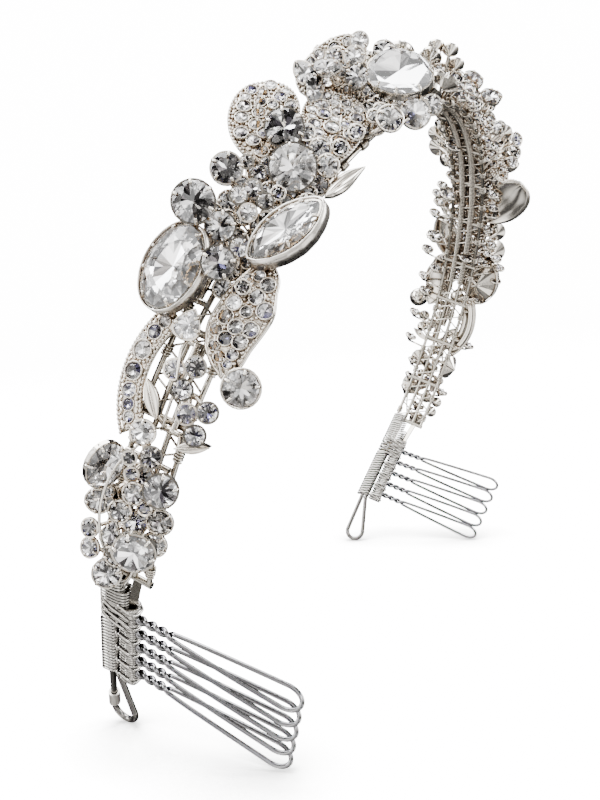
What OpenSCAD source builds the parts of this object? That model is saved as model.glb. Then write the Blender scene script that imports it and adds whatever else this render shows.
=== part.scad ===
// Crystal headpiece: a bent wire band that ends in two eyelets, with two side combs bound on
// and crystal castings set along it. Each half carries the same castings, turned half a turn.

/* [Arch] */
// Half the distance between the two feet, at the floor
foot_half = 65; // [60:0.5:70]
// Outward slope of each leg from the upright, in degrees
leg_slope = 23; // [20:0.5:26]
// Length of each straight leg
leg_length = 38; // [37:0.5:40]
// Bend radius of each shoulder
shoulder_r = 66; // [62:0.5:70]
// Angle that each shoulder bends through
shoulder_turn = 58; // [55:0.5:61]
// How far the arch leans forward over its combs, in degrees
lean = 24; // [22:0.5:26]

/* [Band wires] */
// Diameter of the four wires that run along the band
rail_d = 1.0; // [0.8:0.1:1.2]
// Distance of the outer wires from the middle of the band
rail_out = 4.5; // [4.2:0.1:4.8]
// Distance of the inner wires from the middle of the band
rail_in = 1.5; // [1.2:0.1:1.8]
// Diameter of the bars across the band
bar_d = 1.3; // [1.2:0.1:1.4]

/* [Feet] */
// Diameter of the wire that forms each leg and eyelet
leg_d = 1.3; // [1.1:0.1:1.5]
// Radius of the round end of each eyelet, at the middle of its wire
eyelet_r = 2.6; // [2.3:0.1:2.6]

/* [Combs] */
// Number of teeth on each comb
teeth = 5; // [3:1:5]
// Distance between teeth
tooth_pitch = 4; // [3.9:0.1:4.1]
// Length of each tooth from the comb's spine to its tip
tooth_length = 34.5; // [30:0.5:36]
// Length of the twisted part at the root of each tooth
twist_length = 8; // [6:0.5:10]
// Diameter of the twisted part
twist_d = 1.8; // [1.6:0.1:1.9]
// Diameter of the comb wire
tooth_d = 0.9; // [0.8:0.1:1.0]
// Width of each tooth's loop near its tip, at the middle of its wire
loop_w = 2.7; // [2.4:0.1:2.8]

/* [Settings] */
// Wall of the cups that hold the stones
cup_wall = 0.35; // [0.3:0.05:0.4]
// Gap between a stone and its cup
seat_gap = 0.06; // [0.05:0.01:0.08]
// Diameter of the stalks under the cups
stalk_d = 0.8; // [0.7:0.05:0.9]
// Thickness of the cast leaves
leaf_t = 1.0; // [0.8:0.1:1.2]

/* [Hidden] */
$fn = 48;
// Shift that puts the origin under the middle of the headpiece's box
origin_back = 32.07;
// Facets round a shaped stone
shaped_sides = 20;

// Arch in its own plane: x across, w up; stations s run along it from the near foot
degree = 180 / PI;
shoulder_arc = shoulder_r * shoulder_turn / degree;
crown_start = leg_length + shoulder_arc;
crown_angle = 90 + leg_slope - shoulder_turn;
shoulder_c = [-foot_half - leg_length * sin(leg_slope) + shoulder_r * cos(leg_slope),
              leg_length * cos(leg_slope) + shoulder_r * sin(leg_slope)];
crown_p = shoulder_c + shoulder_r * [-sin(crown_angle), cos(crown_angle)];
crown_r = crown_p[0] / -sin(crown_angle);
crown_c = [0, crown_p[1] - crown_r * cos(crown_angle)];
half_arch = crown_start + crown_r * crown_angle / degree;

// First and last cross bar stations of the near half, and those between them
band_start = 45;
bar_stations = [band_start, 60, 75, 90, crown_start, 122, 139, 156, 173];
bar_reach = rail_out + 0.6;

// Heights above the middle of the band wires
link_h = 1.35;
link_d = 1.1;

// Columns of the tables of stones: station along the arch, distance to the front, height above
// the band, length, width, face turned to the front, face turned along the arch, turn in its
// own plane, how pointed both ends are, how far one end is drawn out as a drop
S = 0;
V = 1;
H = 2;
LEN = 3;
WID = 4;
FRONT = 5;
UP = 6;
TURN = 7;
POINT = 8;
DROP = 9;

// Stones of the cluster at the end of the band
END_CRYSTAL = [56.8, 5.7, 8.2, 6.4, 6.4, 25, -2, 0, 0, 0];
END_ROUND = [47, -1.4, 4.2, 4.5, 4.5, 20, 25, 0, 0, 0];
END_SMALL = [
    [54.5, -5.4, 5.0, 2.7, 2.7, 0, 15, 0, 0, 0],
    [51.0, -4.8, 5.0, 3.0, 3.0, 0, 20, 0, 0, 0],
    [58.3, 1.9, 3.2, 3.6, 3.6, 20, 10, 0, 0, 0],
    [55.2, -1.4, 4.6, 4.0, 3.0, 10, 15, 0, 0, 1]];
// Link wires of a casting: station, from and to across the band
END_LINKS = [[48, -4, 2], [55, -4.4, 4.4]];

// Stones of the bud and its spray
BUD_OVAL = [66.3, -4.2, 6.6, 7.6, 6.4, 68, 0, 0, 0, 0];
BUD_ROUND = [66.0, 5.9, 5.2, 5.0, 5.0, 25, 12, 0, 0, 0];
BUD_SMALL = [
    [69.2, 0.0, 7.2, 1.8, 1.8, 20, 0, 0, 0, 0],
    [66.4, 0.2, 5.4, 1.8, 1.8, 20, 0, 0, 0, 0],
    [69.9, 2.4, 5.0, 3.0, 3.0, 20, 10, 0, 0, 0],
    [72.8, -0.4, 5.0, 3.6, 3.6, 15, 0, 0, 0, 0],
    [62.6, 0.2, 3.8, 1.8, 1.8, 10, 0, 0, 0, 0],
    [61.6, 3.2, 3.8, 2.0, 2.0, 10, 0, 0, 0, 0],
    [61.4, -3.9, 4.2, 1.8, 1.8, 5, 0, 0, 0, 0],
    [59.6, -2.6, 4.3, 1.8, 1.8, 5, 0, 0, 0, 0]];
BUD_LINKS = [[62.5, -3, 1.5], [68, -4.4, 4.4]];

// Arc of the paved stem: centre station, centre to the front, height, bend radius, width, the
// angles where it starts and ends, and the stations of its stones as angles with diameters
STEM = [82, 9.5, 2.6];
STEM_R = 16.6;
STEM_W = 3.4;
STEM_FROM = 57;
STEM_TO = 128;
STEM_STONES = [[63, 2.0], [71, 2.4], [83, 2.6], [96, 2.4], [107, 2.0], [115, 1.8], [122, 1.6]];

// Stones of the sprig: two clusters of three, a drop and the cast leaves
TREFOILS = [[83.0, 2.9, 5.1, -84], [77.8, 7.7, 4.9, -84]];
TREFOIL_R = 2.15;
TREFOIL_D = 2.8;
SPRIG_DROP = [90.0, -0.2, 5.4, 4.6, 3.8, 15, 0, 0, 0, 1];
SPRIG_LINKS = [[74, 1, 4.4], [80.5, 0, 4.4], [88, -1.5, 1.5]];
// Cast leaves: centre station, to the front, height, length, width, face to the front, face
// along the arch, turn in its own plane
SPRIG_LEAVES = [
    [77.6, -1.9, 3.4, 7.0, 2.4, 10, 0, 38],
    [73.6, 8.0, 4.0, 6.2, 1.9, 15, 0, -66]];

// Long paved leaf with its stones, placed from the leaf's own middle, and the drop beside it
LEAF_A = [95, 6.8, 3.6, 21, 9.4, 10, 0, 4];
LEAF_A_STONES = [[3.4, -2.2, 2.6], [3.0, 0.8, 2.4], [1.4, 2.9, 2.6], [-2.2, 2.0, 2.4], [-1.6, -2.6, 2.4],
    [-4.9, -1.2, 2.2], [6.6, -0.4, 1.8], [-6.8, 0.8, 1.8], [0.2, 0.2, 1.8]];
LEAF_A_LINKS = [[92.5, 2, 4.4], [100.5, 2, 4.4]];
DROP_ROUND = [84.6, 12.6, 5.6, 5.2, 5.2, 28, 0, 0, 0, 0];

// Large oval at the rear edge
SIDE_OVAL = [96.7, -6.6, 6.6, 14, 9.6, -6, -8, 0, 0, 0];
SIDE_LINKS = [[94.5, -4.4, -1], [99.5, -4.4, -1]];

// Stones of the blossom
BLOSSOM_A = [105.2, -7.0, 11.0, 6.4, 6.4, 22, -22, 0, 0, 0];
BLOSSOM_B = [105.0, -3.0, 7.0, 4.4, 4.4, 25, -22, 0, 0, 0];
BLOSSOM_SMALL = [
    [113.8, -7.3, 8.6, 4.8, 4.8, 20, -25, 0, 0, 0],
    [118.2, -6.8, 6.0, 1.8, 1.8, 20, -30, 0, 0, 0],
    [117.4, -3.9, 5.4, 2.6, 2.2, 20, -30, 0, 0, 1],
    [110.8, -3.2, 7.4, 2.4, 2.4, 24, -22, 0, 0, 0],
    [113.6, -2.6, 6.0, 2.6, 2.6, 18, -28, 0, 0, 0],
    [109.0, -0.4, 6.5, 2.4, 2.4, 17, -22, 0, 0, 0],
    [112.4, 0.5, 5.8, 2.2, 2.2, 23, -24, 0, 0, 0],
    [109.8, 2.1, 5.0, 2.2, 2.2, 20, -20, 0, 0, 0],
    [99.0, 1.2, 8.8, 4.8, 4.8, 26, -16, 0, 0, 0],
    [103.8, 0.9, 5.0, 2.8, 2.8, 26, -20, 0, 0, 0]];
BLOSSOM_LINKS = [[102.5, -1, 1.5], [111, -4.4, 1.5]];

// Large marquise in its thick bezel
NAVETTE = [108.2, 7.2, 7.0, 13.5, 6.5, -8, -10, -26, 0.35, 0];
NAVETTE_LINKS = [[106.8, 3.4, 4.4], [113, 3.4, 4.4]];

// Star-cut and large round stones side by side
STAR_ROUND = [124.5, -3.2, 9.2, 6.1, 6.1, 22, -35, 0, 0, 0];
CROWN_ROUND = [119.3, 1.6, 7.0, 7.4, 7.4, 22, -35, 0, 0, 0];
PAIR_SMALL = [
    [119.6, -3.6, 5.0, 2.6, 2.6, 20, -30, 0, 0, 0],
    [124.2, 0.4, 4.4, 2.4, 2.4, 20, -30, 0, 0, 0],
    [129.0, -1.9, 5.6, 2.4, 2.4, 20, -30, 0, 0, 0]];
PAIR_LINKS = [[118.5, -1, 3], [125.5, -1.5, 1.5]];

// Round paved leaf at the rear edge
LEAF_B = [128.8, -10.2, 8.4, 16, 11.6, 12, -14, 30];
LEAF_B_STONES = [[4.6, 1.2, 2.0], [3.2, -2.2, 2.0], [1.8, 2.8, 2.2], [-0.6, -3.4, 2.4], [-2.2, 2.6, 2.4],
    [-4.4, -1.4, 2.2], [0.6, -0.6, 2.0]];
LEAF_B_LINKS = [[130.6, -4.4, -2.8]];

// Heart-shaped paved leaf with the round stone and smooth leaf at its edge
LEAF_C = [134.9, 1.4, 4.6, 18, 11.5, 12, -8, 22];
LEAF_C_STONES = [[1.5, -3.2, 2.4], [3.0, -0.8, 2.4], [-1.6, -1.4, 2.8], [-4.6, 0.2, 2.6], [-2.6, 2.2, 2.8],
    [2.2, 2.6, 2.4], [6.0, 0.4, 2.0], [-0.2, 0.8, 1.8]];
LEAF_C_SMALL = [[137.6, 9.4, 6.8, 3.8, 3.8, 25, -30, 0, 0, 0]];
LEAF_C_LEAF = [123.6, 9.2, 3.6, 9.0, 2.4, 15, -5, -16];
LEAF_C_LINKS = [[131.5, 1.8, 4.4], [137, -1.5, 4.4]];

// Crown group: the large oval, marquise petals and rounds
TOP_OVAL = [146.6, 6.0, 10.2, 12, 9.4, 26, -52, 88, 0, 0];
TOP_SMALL = [
    [138.2, -8.0, 10.0, 5.4, 3.0, 15, -50, 60, 0.35, 0],
    [140.6, -5.2, 10.8, 5.4, 3.0, 15, -50, 100, 0.35, 0],
    [138.6, -6.2, 7.2, 5.0, 2.6, 15, -40, 20, 0.35, 0],
    [143.6, -0.6, 9.2, 3.8, 3.8, 20, -50, 0, 0, 0],
    [145.6, -2.6, 11.6, 3.2, 3.2, 15, -50, 0, 0, 0],
    [145.2, -6.4, 10.6, 2.8, 2.8, 15, -50, 0, 0, 0],
    [149.0, -3.8, 13.0, 2.8, 2.8, 15, -55, 0, 0, 0],
    [151.6, -6.6, 10.4, 3.0, 3.0, 10, -40, 0, 0, 0],
    [144.2, 11.2, 5.4, 5.0, 5.0, 30, -40, 0, 0, 0],
    [150.6, 11.6, 4.8, 3.2, 3.2, 30, -45, 0, 0, 0]];
TOP_LINKS = [[146, -4.4, 4.4], [151, -4.4, 4.4]];

// Crest past the crown group: a square stone, rounds and a five-stone flower
CREST_ROUND = [159.6, -5.8, 6.6, 4.6, 4.6, -15, 45, 0, 0, 0];
CREST_SMALL = [
    [155.0, -1.6, 10.6, 3.4, 3.4, 15, -45, 45, 0, 0],
    [154.6, 8.2, 5.6, 5.6, 5.6, -10, 45, 0, 0, 0],
    [163.0, 8.6, 6.0, 4.8, 4.0, -10, 45, 90, 0, 0],
    [167.2, -3.6, 8.2, 4.2, 4.2, -15, 50, 0, 0, 0],
    [160.2, 2.2, 8.6, 3.2, 3.2, 10, -30, 0, 0, 0],
    [166.4, 3.4, 9.4, 3.0, 3.0, -10, 45, 0, 0, 0],
    [174.6, -6.2, 7.4, 4.4, 4.4, -20, 50, 0, 0, 0],
    [184.6, -3.6, 7.4, 4.4, 4.4, -20, 50, 0, 0, 0],
    [183.2, 3.8, 5.4, 3.4, 3.4, -10, 30, 0, 0, 0]];
FLOWER = [175.8, 2.8, 8.6, -15, 45];
FLOWER_R = 2.7;
FLOWER_D = 2.6;
CREST_LINKS = [[158.5, -4.4, 4.4], [165, -4.4, 4.4], [175.5, -4.4, 4.4], [184, -4.4, 0]];

// Direction of the arch at a station, in degrees from the x axis
function heading(s) =
    s < leg_length ? 90 + leg_slope
    : s < crown_start ? 90 + leg_slope - (s - leg_length) / shoulder_r * degree
    : crown_angle - (s - crown_start) / crown_r * degree;

function outward(s) = [-sin(heading(s)), cos(heading(s))];

// Middle of the band at a station, in the arch's plane
function middle(s) =
    s < leg_length ? [-foot_half - s * sin(leg_slope), s * cos(leg_slope)]
    : s < crown_start ? shoulder_c + shoulder_r * outward(s)
    : crown_c + crown_r * outward(s);

// Point at a station, a distance to the front and a height above the band
function pos(s, v, h) = let (m = middle(s) + h * outward(s)) [m[0], -v, m[1]];

// Station, forward and height of a point a given depth behind the face of a stone
function behind(g, depth) = [
    g[S] - depth * sin(g[UP]) * cos(g[FRONT]),
    g[V] - depth * sin(g[FRONT]),
    g[H] - depth * cos(g[UP]) * cos(g[FRONT])];

// Whichever link of a casting lies nearest along the arch, and the point on it nearest to a stone
function nearest(p, links, k = 0, best = 0) =
    k == len(links) ? links[best]
    : nearest(p, links, k + 1, abs(links[k][0] - p[0]) < abs(links[best][0] - p[0]) ? k : best);
// Foot on that link; the feet of stalks that would meet at its end step back from it by turns
function foot_on(p, link, i) =
    let (inset = min(0.4 + 0.25 * (i % 4), (link[2] - link[1]) * (0.2 + 0.04 * (i % 4))))
    [link[0], max(link[1] + inset, min(link[2] - inset, p[1])), link_h];

// Rim of a shaped stone at one angle
function rim(l, w, point, drop, t) = [
    l / 2 * cos(t),
    w / 2 * sin(t) * pow(abs(sin(t)), point) * pow(abs(sin(t / 2)), drop) * (1 + 0.3 * drop)];

// The three stones of a cluster, as rows of the stone table: each stands a little higher and
// turns a little more than the one before
function trefoil(c) = [for (k = [0:2]) let (t = c[3] + 120 * k)
    [c[0] + TREFOIL_R * cos(t), c[1] + TREFOIL_R * sin(t), c[2] + 0.35 * k, TREFOIL_D, TREFOIL_D,
     14 + 4 * k, 3 * k, 0, 0, 0]];
function flower() = [for (k = [0:4]) let (t = 72 * k)
    [FLOWER[0] + FLOWER_R * cos(t), FLOWER[1] + FLOWER_R * sin(t), FLOWER[2] - 2.2 * cos(t),
     FLOWER_D, FLOWER_D, FLOWER[3], FLOWER[4], 0, 0, 0]];
SPRIG_STONES = concat([for (c = TREFOILS) each trefoil(c)], [SPRIG_DROP]);
CREST_STONES = concat(CREST_SMALL, flower());

// Frame of the leaning arch, and the same turned half a turn for the far half
module leaning() translate([0, origin_back, 0]) rotate([lean, 0, 0]) children();
module half(k) leaning() rotate([0, 0, 180 * k]) children();
module mirrored(k) leaning() mirror([k, 0, 0]) children();

// Local frame at a station: x along the arch, y to the rear, z outward
module at(s, v, h) translate(pos(s, v, h)) rotate([0, -heading(s), 0]) children();

// The same, tilted and turned for a stone or a leaf
module facing(g, front, up, turn) at(g[S], g[V], g[H]) rotate([0, up, 0]) rotate([front, 0, turn]) children();
module on_stone(g) facing(g, g[FRONT], g[UP], g[TURN]) children();
module on_leaf(g) facing(g, g[5], g[6], g[7]) children();

// Round bar between two points
module rod(p, q, d) {
    way = q - p;
    length = norm(way);
    translate(p) rotate([0, acos(way[2] / length), atan2(way[1], way[0])]) cylinder(h = length, d = d);
}
module wire(a, b, d) rod(pos(a[0], a[1], a[2]), pos(b[0], b[1], b[2]), d);
module knuckle(a, d) translate(pos(a[0], a[1], a[2])) sphere(d = d);

// Turned or shaped form under a flat top: a cone up to the rim, a short wall and a bevel
module gem_form(l, w, point, drop, bottom, low, high, top, table) {
    if (l == w)
        rotate_extrude() polygon([[0, bottom], [w / 2, low], [w / 2, high], [table * w / 2, top], [0, top]]);
    else
        shaped_form(l, w, point, drop, bottom, low, high, top, table);
}
module shaped_form(l, w, point, drop, bottom, low, high, top, table) {
    n = shaped_sides;
    ring = [for (k = [0:n - 1]) rim(l, w, point, drop, 360 * (k + 0.5) / n)];
    points = concat(
        [[drop * -l / 8, 0, bottom]],
        [for (p = ring) [p[0], p[1], low]],
        [for (p = ring) [p[0], p[1], high]],
        [for (p = ring) [table * p[0], table * p[1], top]]);
    faces = concat(
        [for (k = [0:n - 1]) [0, 1 + k, 1 + (k + 1) % n]],
        [for (r = [0:1], k = [0:n - 1]) let (a = 1 + r * n, j = (k + 1) % n) [a + k, a + n + k, a + n + j, a + j]],
        [[for (k = [n - 1:-1:0]) 1 + 2 * n + k]]);
    polyhedron(points, faces);
}

// Heights on a stone with its girdle at z = 0, as parts of its width: the point below, the
// girdle's lower and upper edges, and the table; then the table's share of the width
depth = 0.43;
girdle = 0.02;
crown = 0.16;
table = 0.56;
// Each millimetre that a cup stands off its stone sideways lowers the point of its cone by this
slant = 1.4;
// Height that is left open over a stone, and a cup's lower and upper edges as parts of the width
seat_open = 2.5;
cup_low = 0.1;
cup_high = 0.05;

// Cut stone, the room that it needs in its setting, and the solid outside of its cup
module gem(l, w, point = 0, drop = 0)
    gem_form(l, w, point, drop, -depth * w, -girdle * w, girdle * w, crown * w, table);
module gem_seat(l, w, point = 0, drop = 0)
    gem_form(l + 2 * seat_gap, w + 2 * seat_gap, point, drop,
        -depth * w - slant * seat_gap, -1.5 * girdle * w, seat_open, seat_open + 0.1, 1);
module gem_cup(l, w, point = 0, drop = 0) {
    off = seat_gap + cup_wall;
    gem_form(l + 2 * off, w + 2 * off, point, drop,
        -depth * w - slant * off, -cup_low * w, cup_high * w, cup_high * w + 0.06, 1);
}
module stone(g) on_stone(g) gem(g[LEN], g[WID], g[POINT], g[DROP]);
module seat(g) on_stone(g) gem_seat(g[LEN], g[WID], g[POINT], g[DROP]);
module cup(g) on_stone(g) gem_cup(g[LEN], g[WID], g[POINT], g[DROP]);

// Stalk from the bottom of a cup down to the nearest link
module stalk(g, links, i) {
    top = behind(g, depth * g[WID] + 0.3);
    wire(top, foot_on(top, nearest(top, links), i), stalk_d - 0.03 * (i % 5));
}

// Links that lie across the band, joined by a wire along it
module link_wires(links) {
    for (k = links) wire([k[0], k[1], link_h], [k[0], k[2], link_h], link_d);
    if (len(links) > 1)
        for (i = [0:len(links) - 2]) {
            a = links[i];
            b = links[i + 1];
            across = max(a[1], b[1]) / 2 + min(a[2], b[2]) / 2;
            knuckle([a[0], across, link_h], link_d + 0.1);
            knuckle([b[0], across, link_h], link_d + 0.1);
            wire([a[0], across, link_h], [b[0], across, link_h], link_d);
        }
}

// Casting: cups on stalks over link wires, with its seats cut out; children are cast to it
module casting(stones, links) {
    difference() {
        union() {
            link_wires(links);
            for (i = [0:len(stones) - 1]) {
                cup(stones[i]);
                stalk(stones[i], links, i);
            }
            children();
        }
        for (g = stones) seat(g);
    }
}

// Pointed leaf plate, domed, with its top surface through z = 0 at the middle
leaf_dome = 45;
module leaf_plate(l, w, t) {
    r = (l * l + w * w) / (4 * w);
    intersection() {
        translate([0, r - w / 2, -4]) cylinder(h = 6, r = r);
        translate([0, w / 2 - r, -4]) cylinder(h = 6, r = r);
        translate([0, 0, -leaf_dome]) difference() {
            sphere(r = leaf_dome, $fn = 120);
            sphere(r = leaf_dome - t, $fn = 120);
        }
    }
}
module leaf(g) on_leaf(g) leaf_plate(g[LEN], g[WID], leaf_t);

// Places on a paved leaf: along it, across it, then down by the dome
module on_plate(leaf, p) on_leaf(leaf)
    translate([p[0], -p[1], -(p[0] * p[0] + p[1] * p[1]) / (2 * leaf_dome)]) children();
module paved_stones(leaf, rows) for (p = rows) on_plate(leaf, p) gem(p[2], p[2]);
module paved_seats(leaf, rows) for (p = rows) on_plate(leaf, p) gem_seat(p[2], p[2]);
module paved_cups(leaf, rows) for (p = rows) on_plate(leaf, p) gem_cup(p[2], p[2]);

// Paved leaf on posts over its links
module paved_leaf(plate, rows, links) {
    difference() {
        union() {
            leaf(plate);
            paved_cups(plate, rows);
            link_wires(links);
            for (k = links) {
                across = (k[1] + k[2]) / 2;
                wire([k[0], across, link_h], [k[0], across, plate[H] - leaf_t / 2], stalk_d);
            }
            children();
        }
        paved_seats(plate, rows);
    }
}

// One wire of the band: a shoulder arc on each side and the crown arc between them
module rail(v) {
    for (k = [0, 1]) mirror([k, 0, 0])
        arc_wire(shoulder_c, shoulder_r, v, 90 + heading(band_start), 90 + heading(crown_start), rail_d);
    arc_wire(crown_c, crown_r, v, 90 + heading(crown_start), 90 - heading(crown_start), rail_d);
}
// Wire bent round a centre in the arch's plane, between two directions
module arc_wire(c, r, v, from, to, d)
    translate([c[0], -v, c[1]]) rotate([90, 0, 0]) rotate([0, 0, to])
        rotate_extrude(angle = from - to, $fn = 180) translate([r, 0]) circle(d = d, $fn = 16);

// Leg wires run straight from the first bar to the top of the eyelet
leg_top_v = [-3.7, -2.3];
eyelet_top = 15;
eyelet_v = -0.7;
// Rise of the floor's plane per station and per millimetre to the front, and its slope
rise_s = cos(leg_slope) * cos(lean);
rise_v = sin(lean);
rise = norm([rise_s, rise_v]);
// Station of the eyelet's middle that sets its lowest point on the floor
eyelet_s = (rise * eyelet_r + leg_d / 2 + rise_v * eyelet_v) / rise_s;

module eyelet() {
    middle_p = [eyelet_s, eyelet_v];
    for (k = [0, 1]) {
        top = [eyelet_top, leg_top_v[k]];
        way = top - middle_p;
        side = k == 0 ? 1 : -1;
        touch = atan2(way[1], way[0]) - side * acos(eyelet_r / norm(way));
        t = middle_p + eyelet_r * [cos(touch), sin(touch)];
        wire([t[0], t[1], 0], [top[0], top[1], 0], leg_d);
        knuckle([t[0], t[1], 0], leg_d + 0.1);
        knuckle([top[0], top[1], 0], leg_d + 0.1);
        wire([top[0], top[1], 0], [band_start, top[1], 0], leg_d);
    }
    way0 = [eyelet_top, leg_top_v[0]] - middle_p;
    way1 = [eyelet_top, leg_top_v[1]] - middle_p;
    from = atan2(way0[1], way0[0]) - acos(eyelet_r / norm(way0));
    to = atan2(way1[1], way1[0]) + acos(eyelet_r / norm(way1));
    at(eyelet_s, eyelet_v, 0) rotate([0, 0, -from])
        rotate_extrude(angle = 360 - to + from) translate([eyelet_r, 0]) circle(d = leg_d, $fn = 16);
}

// Flat strip that comes down from the band into the top of the binding
strip_w = 1.6;
strip_t = 0.5;
module strip() {
    low = pos(36.6, 1.2, 0);
    high = pos(band_start, 2.2, 0);
    way = high - low;
    translate(low) rotate([0, acos(way[2] / norm(way)), atan2(way[1], way[0])])
        translate([-strip_t / 2, -strip_w / 2, 0]) cube([strip_t, strip_w, norm(way)]);
}

module band_frame() color("silver") {
    leaning() {
        for (v = [-rail_out, -rail_in, rail_in, rail_out]) rail(v);
        wire([half_arch, -bar_reach, 0], [half_arch, bar_reach, 0], bar_d);
        for (k = [0, 1]) mirror([k, 0, 0]) {
            for (s = bar_stations) wire([s, -bar_reach, 0], [s, bar_reach, 0], bar_d);
            eyelet();
            strip();
        }
    }
}

// Side comb: spine rod, and teeth of twisted wire that open into long loops
comb_low = 18.5;
spine_v = 1.2;
spine_d = 2;
// Distance from the spine's middle to the middle of a loop's round tip
tip_reach = spine_d / 2 + tooth_length - loop_w / 2 - tooth_d / 2;
// Angle that sets the lowest tip on the floor, and how much each tooth opens from the one below
tip_rise = (rise_s * comb_low - rise_v * spine_v - rise * loop_w / 2 - tooth_d / 2) / tip_reach;
tooth_drop = asin(tip_rise / rise) - atan2(rise_v, rise_s);
tooth_fan = 0.6;

module tooth() {
    root = spine_d / 2 + twist_length;
    spread = (twist_d - tooth_d) / 2;
    rotate([90, 0, 0]) cylinder(h = root, d = twist_d);
    for (side = [-1, 1]) {
        a = [side * spread, -root + 0.4, 0];
        m = [side * loop_w / 2 * 0.92, -root - 9, 0];
        b = [side * loop_w / 2, -tip_reach, 0];
        rod(a, m, tooth_d);
        rod(m, b, tooth_d);
        translate(m) sphere(d = tooth_d + 0.06);
        translate(b) sphere(d = tooth_d + 0.06);
    }
    translate([0, -tip_reach, 0]) rotate([0, 0, 180])
        rotate_extrude(angle = 180) translate([loop_w / 2, 0]) circle(d = tooth_d, $fn = 16);
}

module comb() color("gainsboro") {
    wire([comb_low - 1.2, spine_v, 0], [comb_low + (teeth - 1) * tooth_pitch + 1.2, spine_v, 0], spine_d);
    for (i = [0:teeth - 1])
        at(comb_low + i * tooth_pitch, spine_v, 0) rotate([0, 0, -tooth_drop + i * tooth_fan]) tooth();
}
module near_comb() mirrored(0) comb();
module far_comb() mirrored(1) comb();

// Binding: wound wire sleeve round the leg wires and the comb's spine, open where the teeth leave
bind_from = 15.6;
bind_rear = -4.9;
bind_front = 2.8;
bind_t = 0.35;
bind_h = 1.5;
module stadium(rear, front, r, from, to)
    at(from, 0, 0) rotate([0, 90, 0]) linear_extrude(to - from) {
        for (v = [rear + r, front - r]) translate([0, -v]) circle(r = r);
        translate([-r, -front + r]) square([2 * r, front - rear - 2 * r]);
    }
module binding() color("lightgray") difference() {
    stadium(bind_rear, bind_front, bind_h, bind_from, leg_length);
    stadium(bind_rear + bind_t, bind_front - bind_t, bind_h - bind_t, bind_from - 1, leg_length + 1);
    for (i = [0:teeth - 1])
        at(comb_low + i * tooth_pitch, spine_v, 0) rotate([0, 0, -tooth_drop + i * tooth_fan])
            rotate([90, 0, 0]) cylinder(h = 6, d = twist_d + 0.3);
}
module near_binding() mirrored(0) binding();
module far_binding() mirrored(1) binding();

// Crimped sleeve on the rear strand of the near eyelet
ferrule_d = 2.3;
ferrule_length = 3.4;
module near_ferrule() color("silver") mirrored(0) {
    way0 = [eyelet_top, leg_top_v[0]] - [eyelet_s, eyelet_v];
    touch = atan2(way0[1], way0[0]) - acos(eyelet_r / norm(way0));
    t = [eyelet_s, eyelet_v] + eyelet_r * [cos(touch), sin(touch)];
    way = [eyelet_top, leg_top_v[0]] - t;
    u = way / norm(way);
    a = t + 0.8 * u;
    b = t + (0.8 + ferrule_length) * u;
    difference() {
        wire([a[0], a[1], 0], [b[0], b[1], 0], ferrule_d);
        wire([t[0], t[1], 0], [b[0] + u[0], b[1] + u[1], 0], leg_d + 0.24);
    }
}

module metal(k) color("silver") half(k) children();
module crystal(k) color("white") half(k) children();

module end_cluster_setting(k) metal(k) casting(concat([END_CRYSTAL, END_ROUND], END_SMALL), END_LINKS);

bud_leaf = [59.8, -3.2, 3.4, 6, 3.2, 0, 0, 10];
module bud_spray_setting(k) metal(k) casting(concat([BUD_OVAL, BUD_ROUND], BUD_SMALL), BUD_LINKS) {
    leaf(bud_leaf);
    wire([62.5, -2.6, link_h], [61.6, -3.0, bud_leaf[H] - leaf_t / 2], stalk_d);
}

module on_stem(angle) at(STEM[0], STEM[1], STEM[2]) rotate([0, 0, angle]) translate([STEM_R, 0, 0]) children();
stem_post_v = -4.5;
module paved_stem(k) metal(k) {
    difference() {
        union() {
            at(STEM[0], STEM[1], STEM[2]) rotate([0, 0, STEM_FROM])
                rotate_extrude(angle = STEM_TO - STEM_FROM, $fn = 180)
                    translate([STEM_R - STEM_W / 2, -leaf_t]) square([STEM_W, leaf_t]);
            for (p = STEM_STONES) on_stem(p[0]) gem_cup(p[1], p[1]);
            for (s = [77, 87.5]) wire([s, -5.2, 0.8], [s, -5.9, STEM[2] - leaf_t / 2], stalk_d);
        }
        for (p = STEM_STONES) on_stem(p[0]) gem_seat(p[1], p[1]);
    }
}

module sprig_setting(k) metal(k) casting(SPRIG_STONES, SPRIG_LINKS) {
    for (g = SPRIG_LEAVES) leaf(g);
    wire([74, 1.6, link_h], [75.8, -0.6, 3.0], stalk_d);
    wire([74, 4.2, link_h], [72.6, 5.6, 3.4], stalk_d);
}

module paved_leaf_long(k) metal(k) difference() {
    paved_leaf(LEAF_A, LEAF_A_STONES, LEAF_A_LINKS) {
        cup(DROP_ROUND);
        wire(behind(DROP_ROUND, depth * DROP_ROUND[WID] + 0.2), [87.5, 9.2, LEAF_A[H] - leaf_t / 2 - 0.2], stalk_d);
    }
    seat(DROP_ROUND);
}

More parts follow.
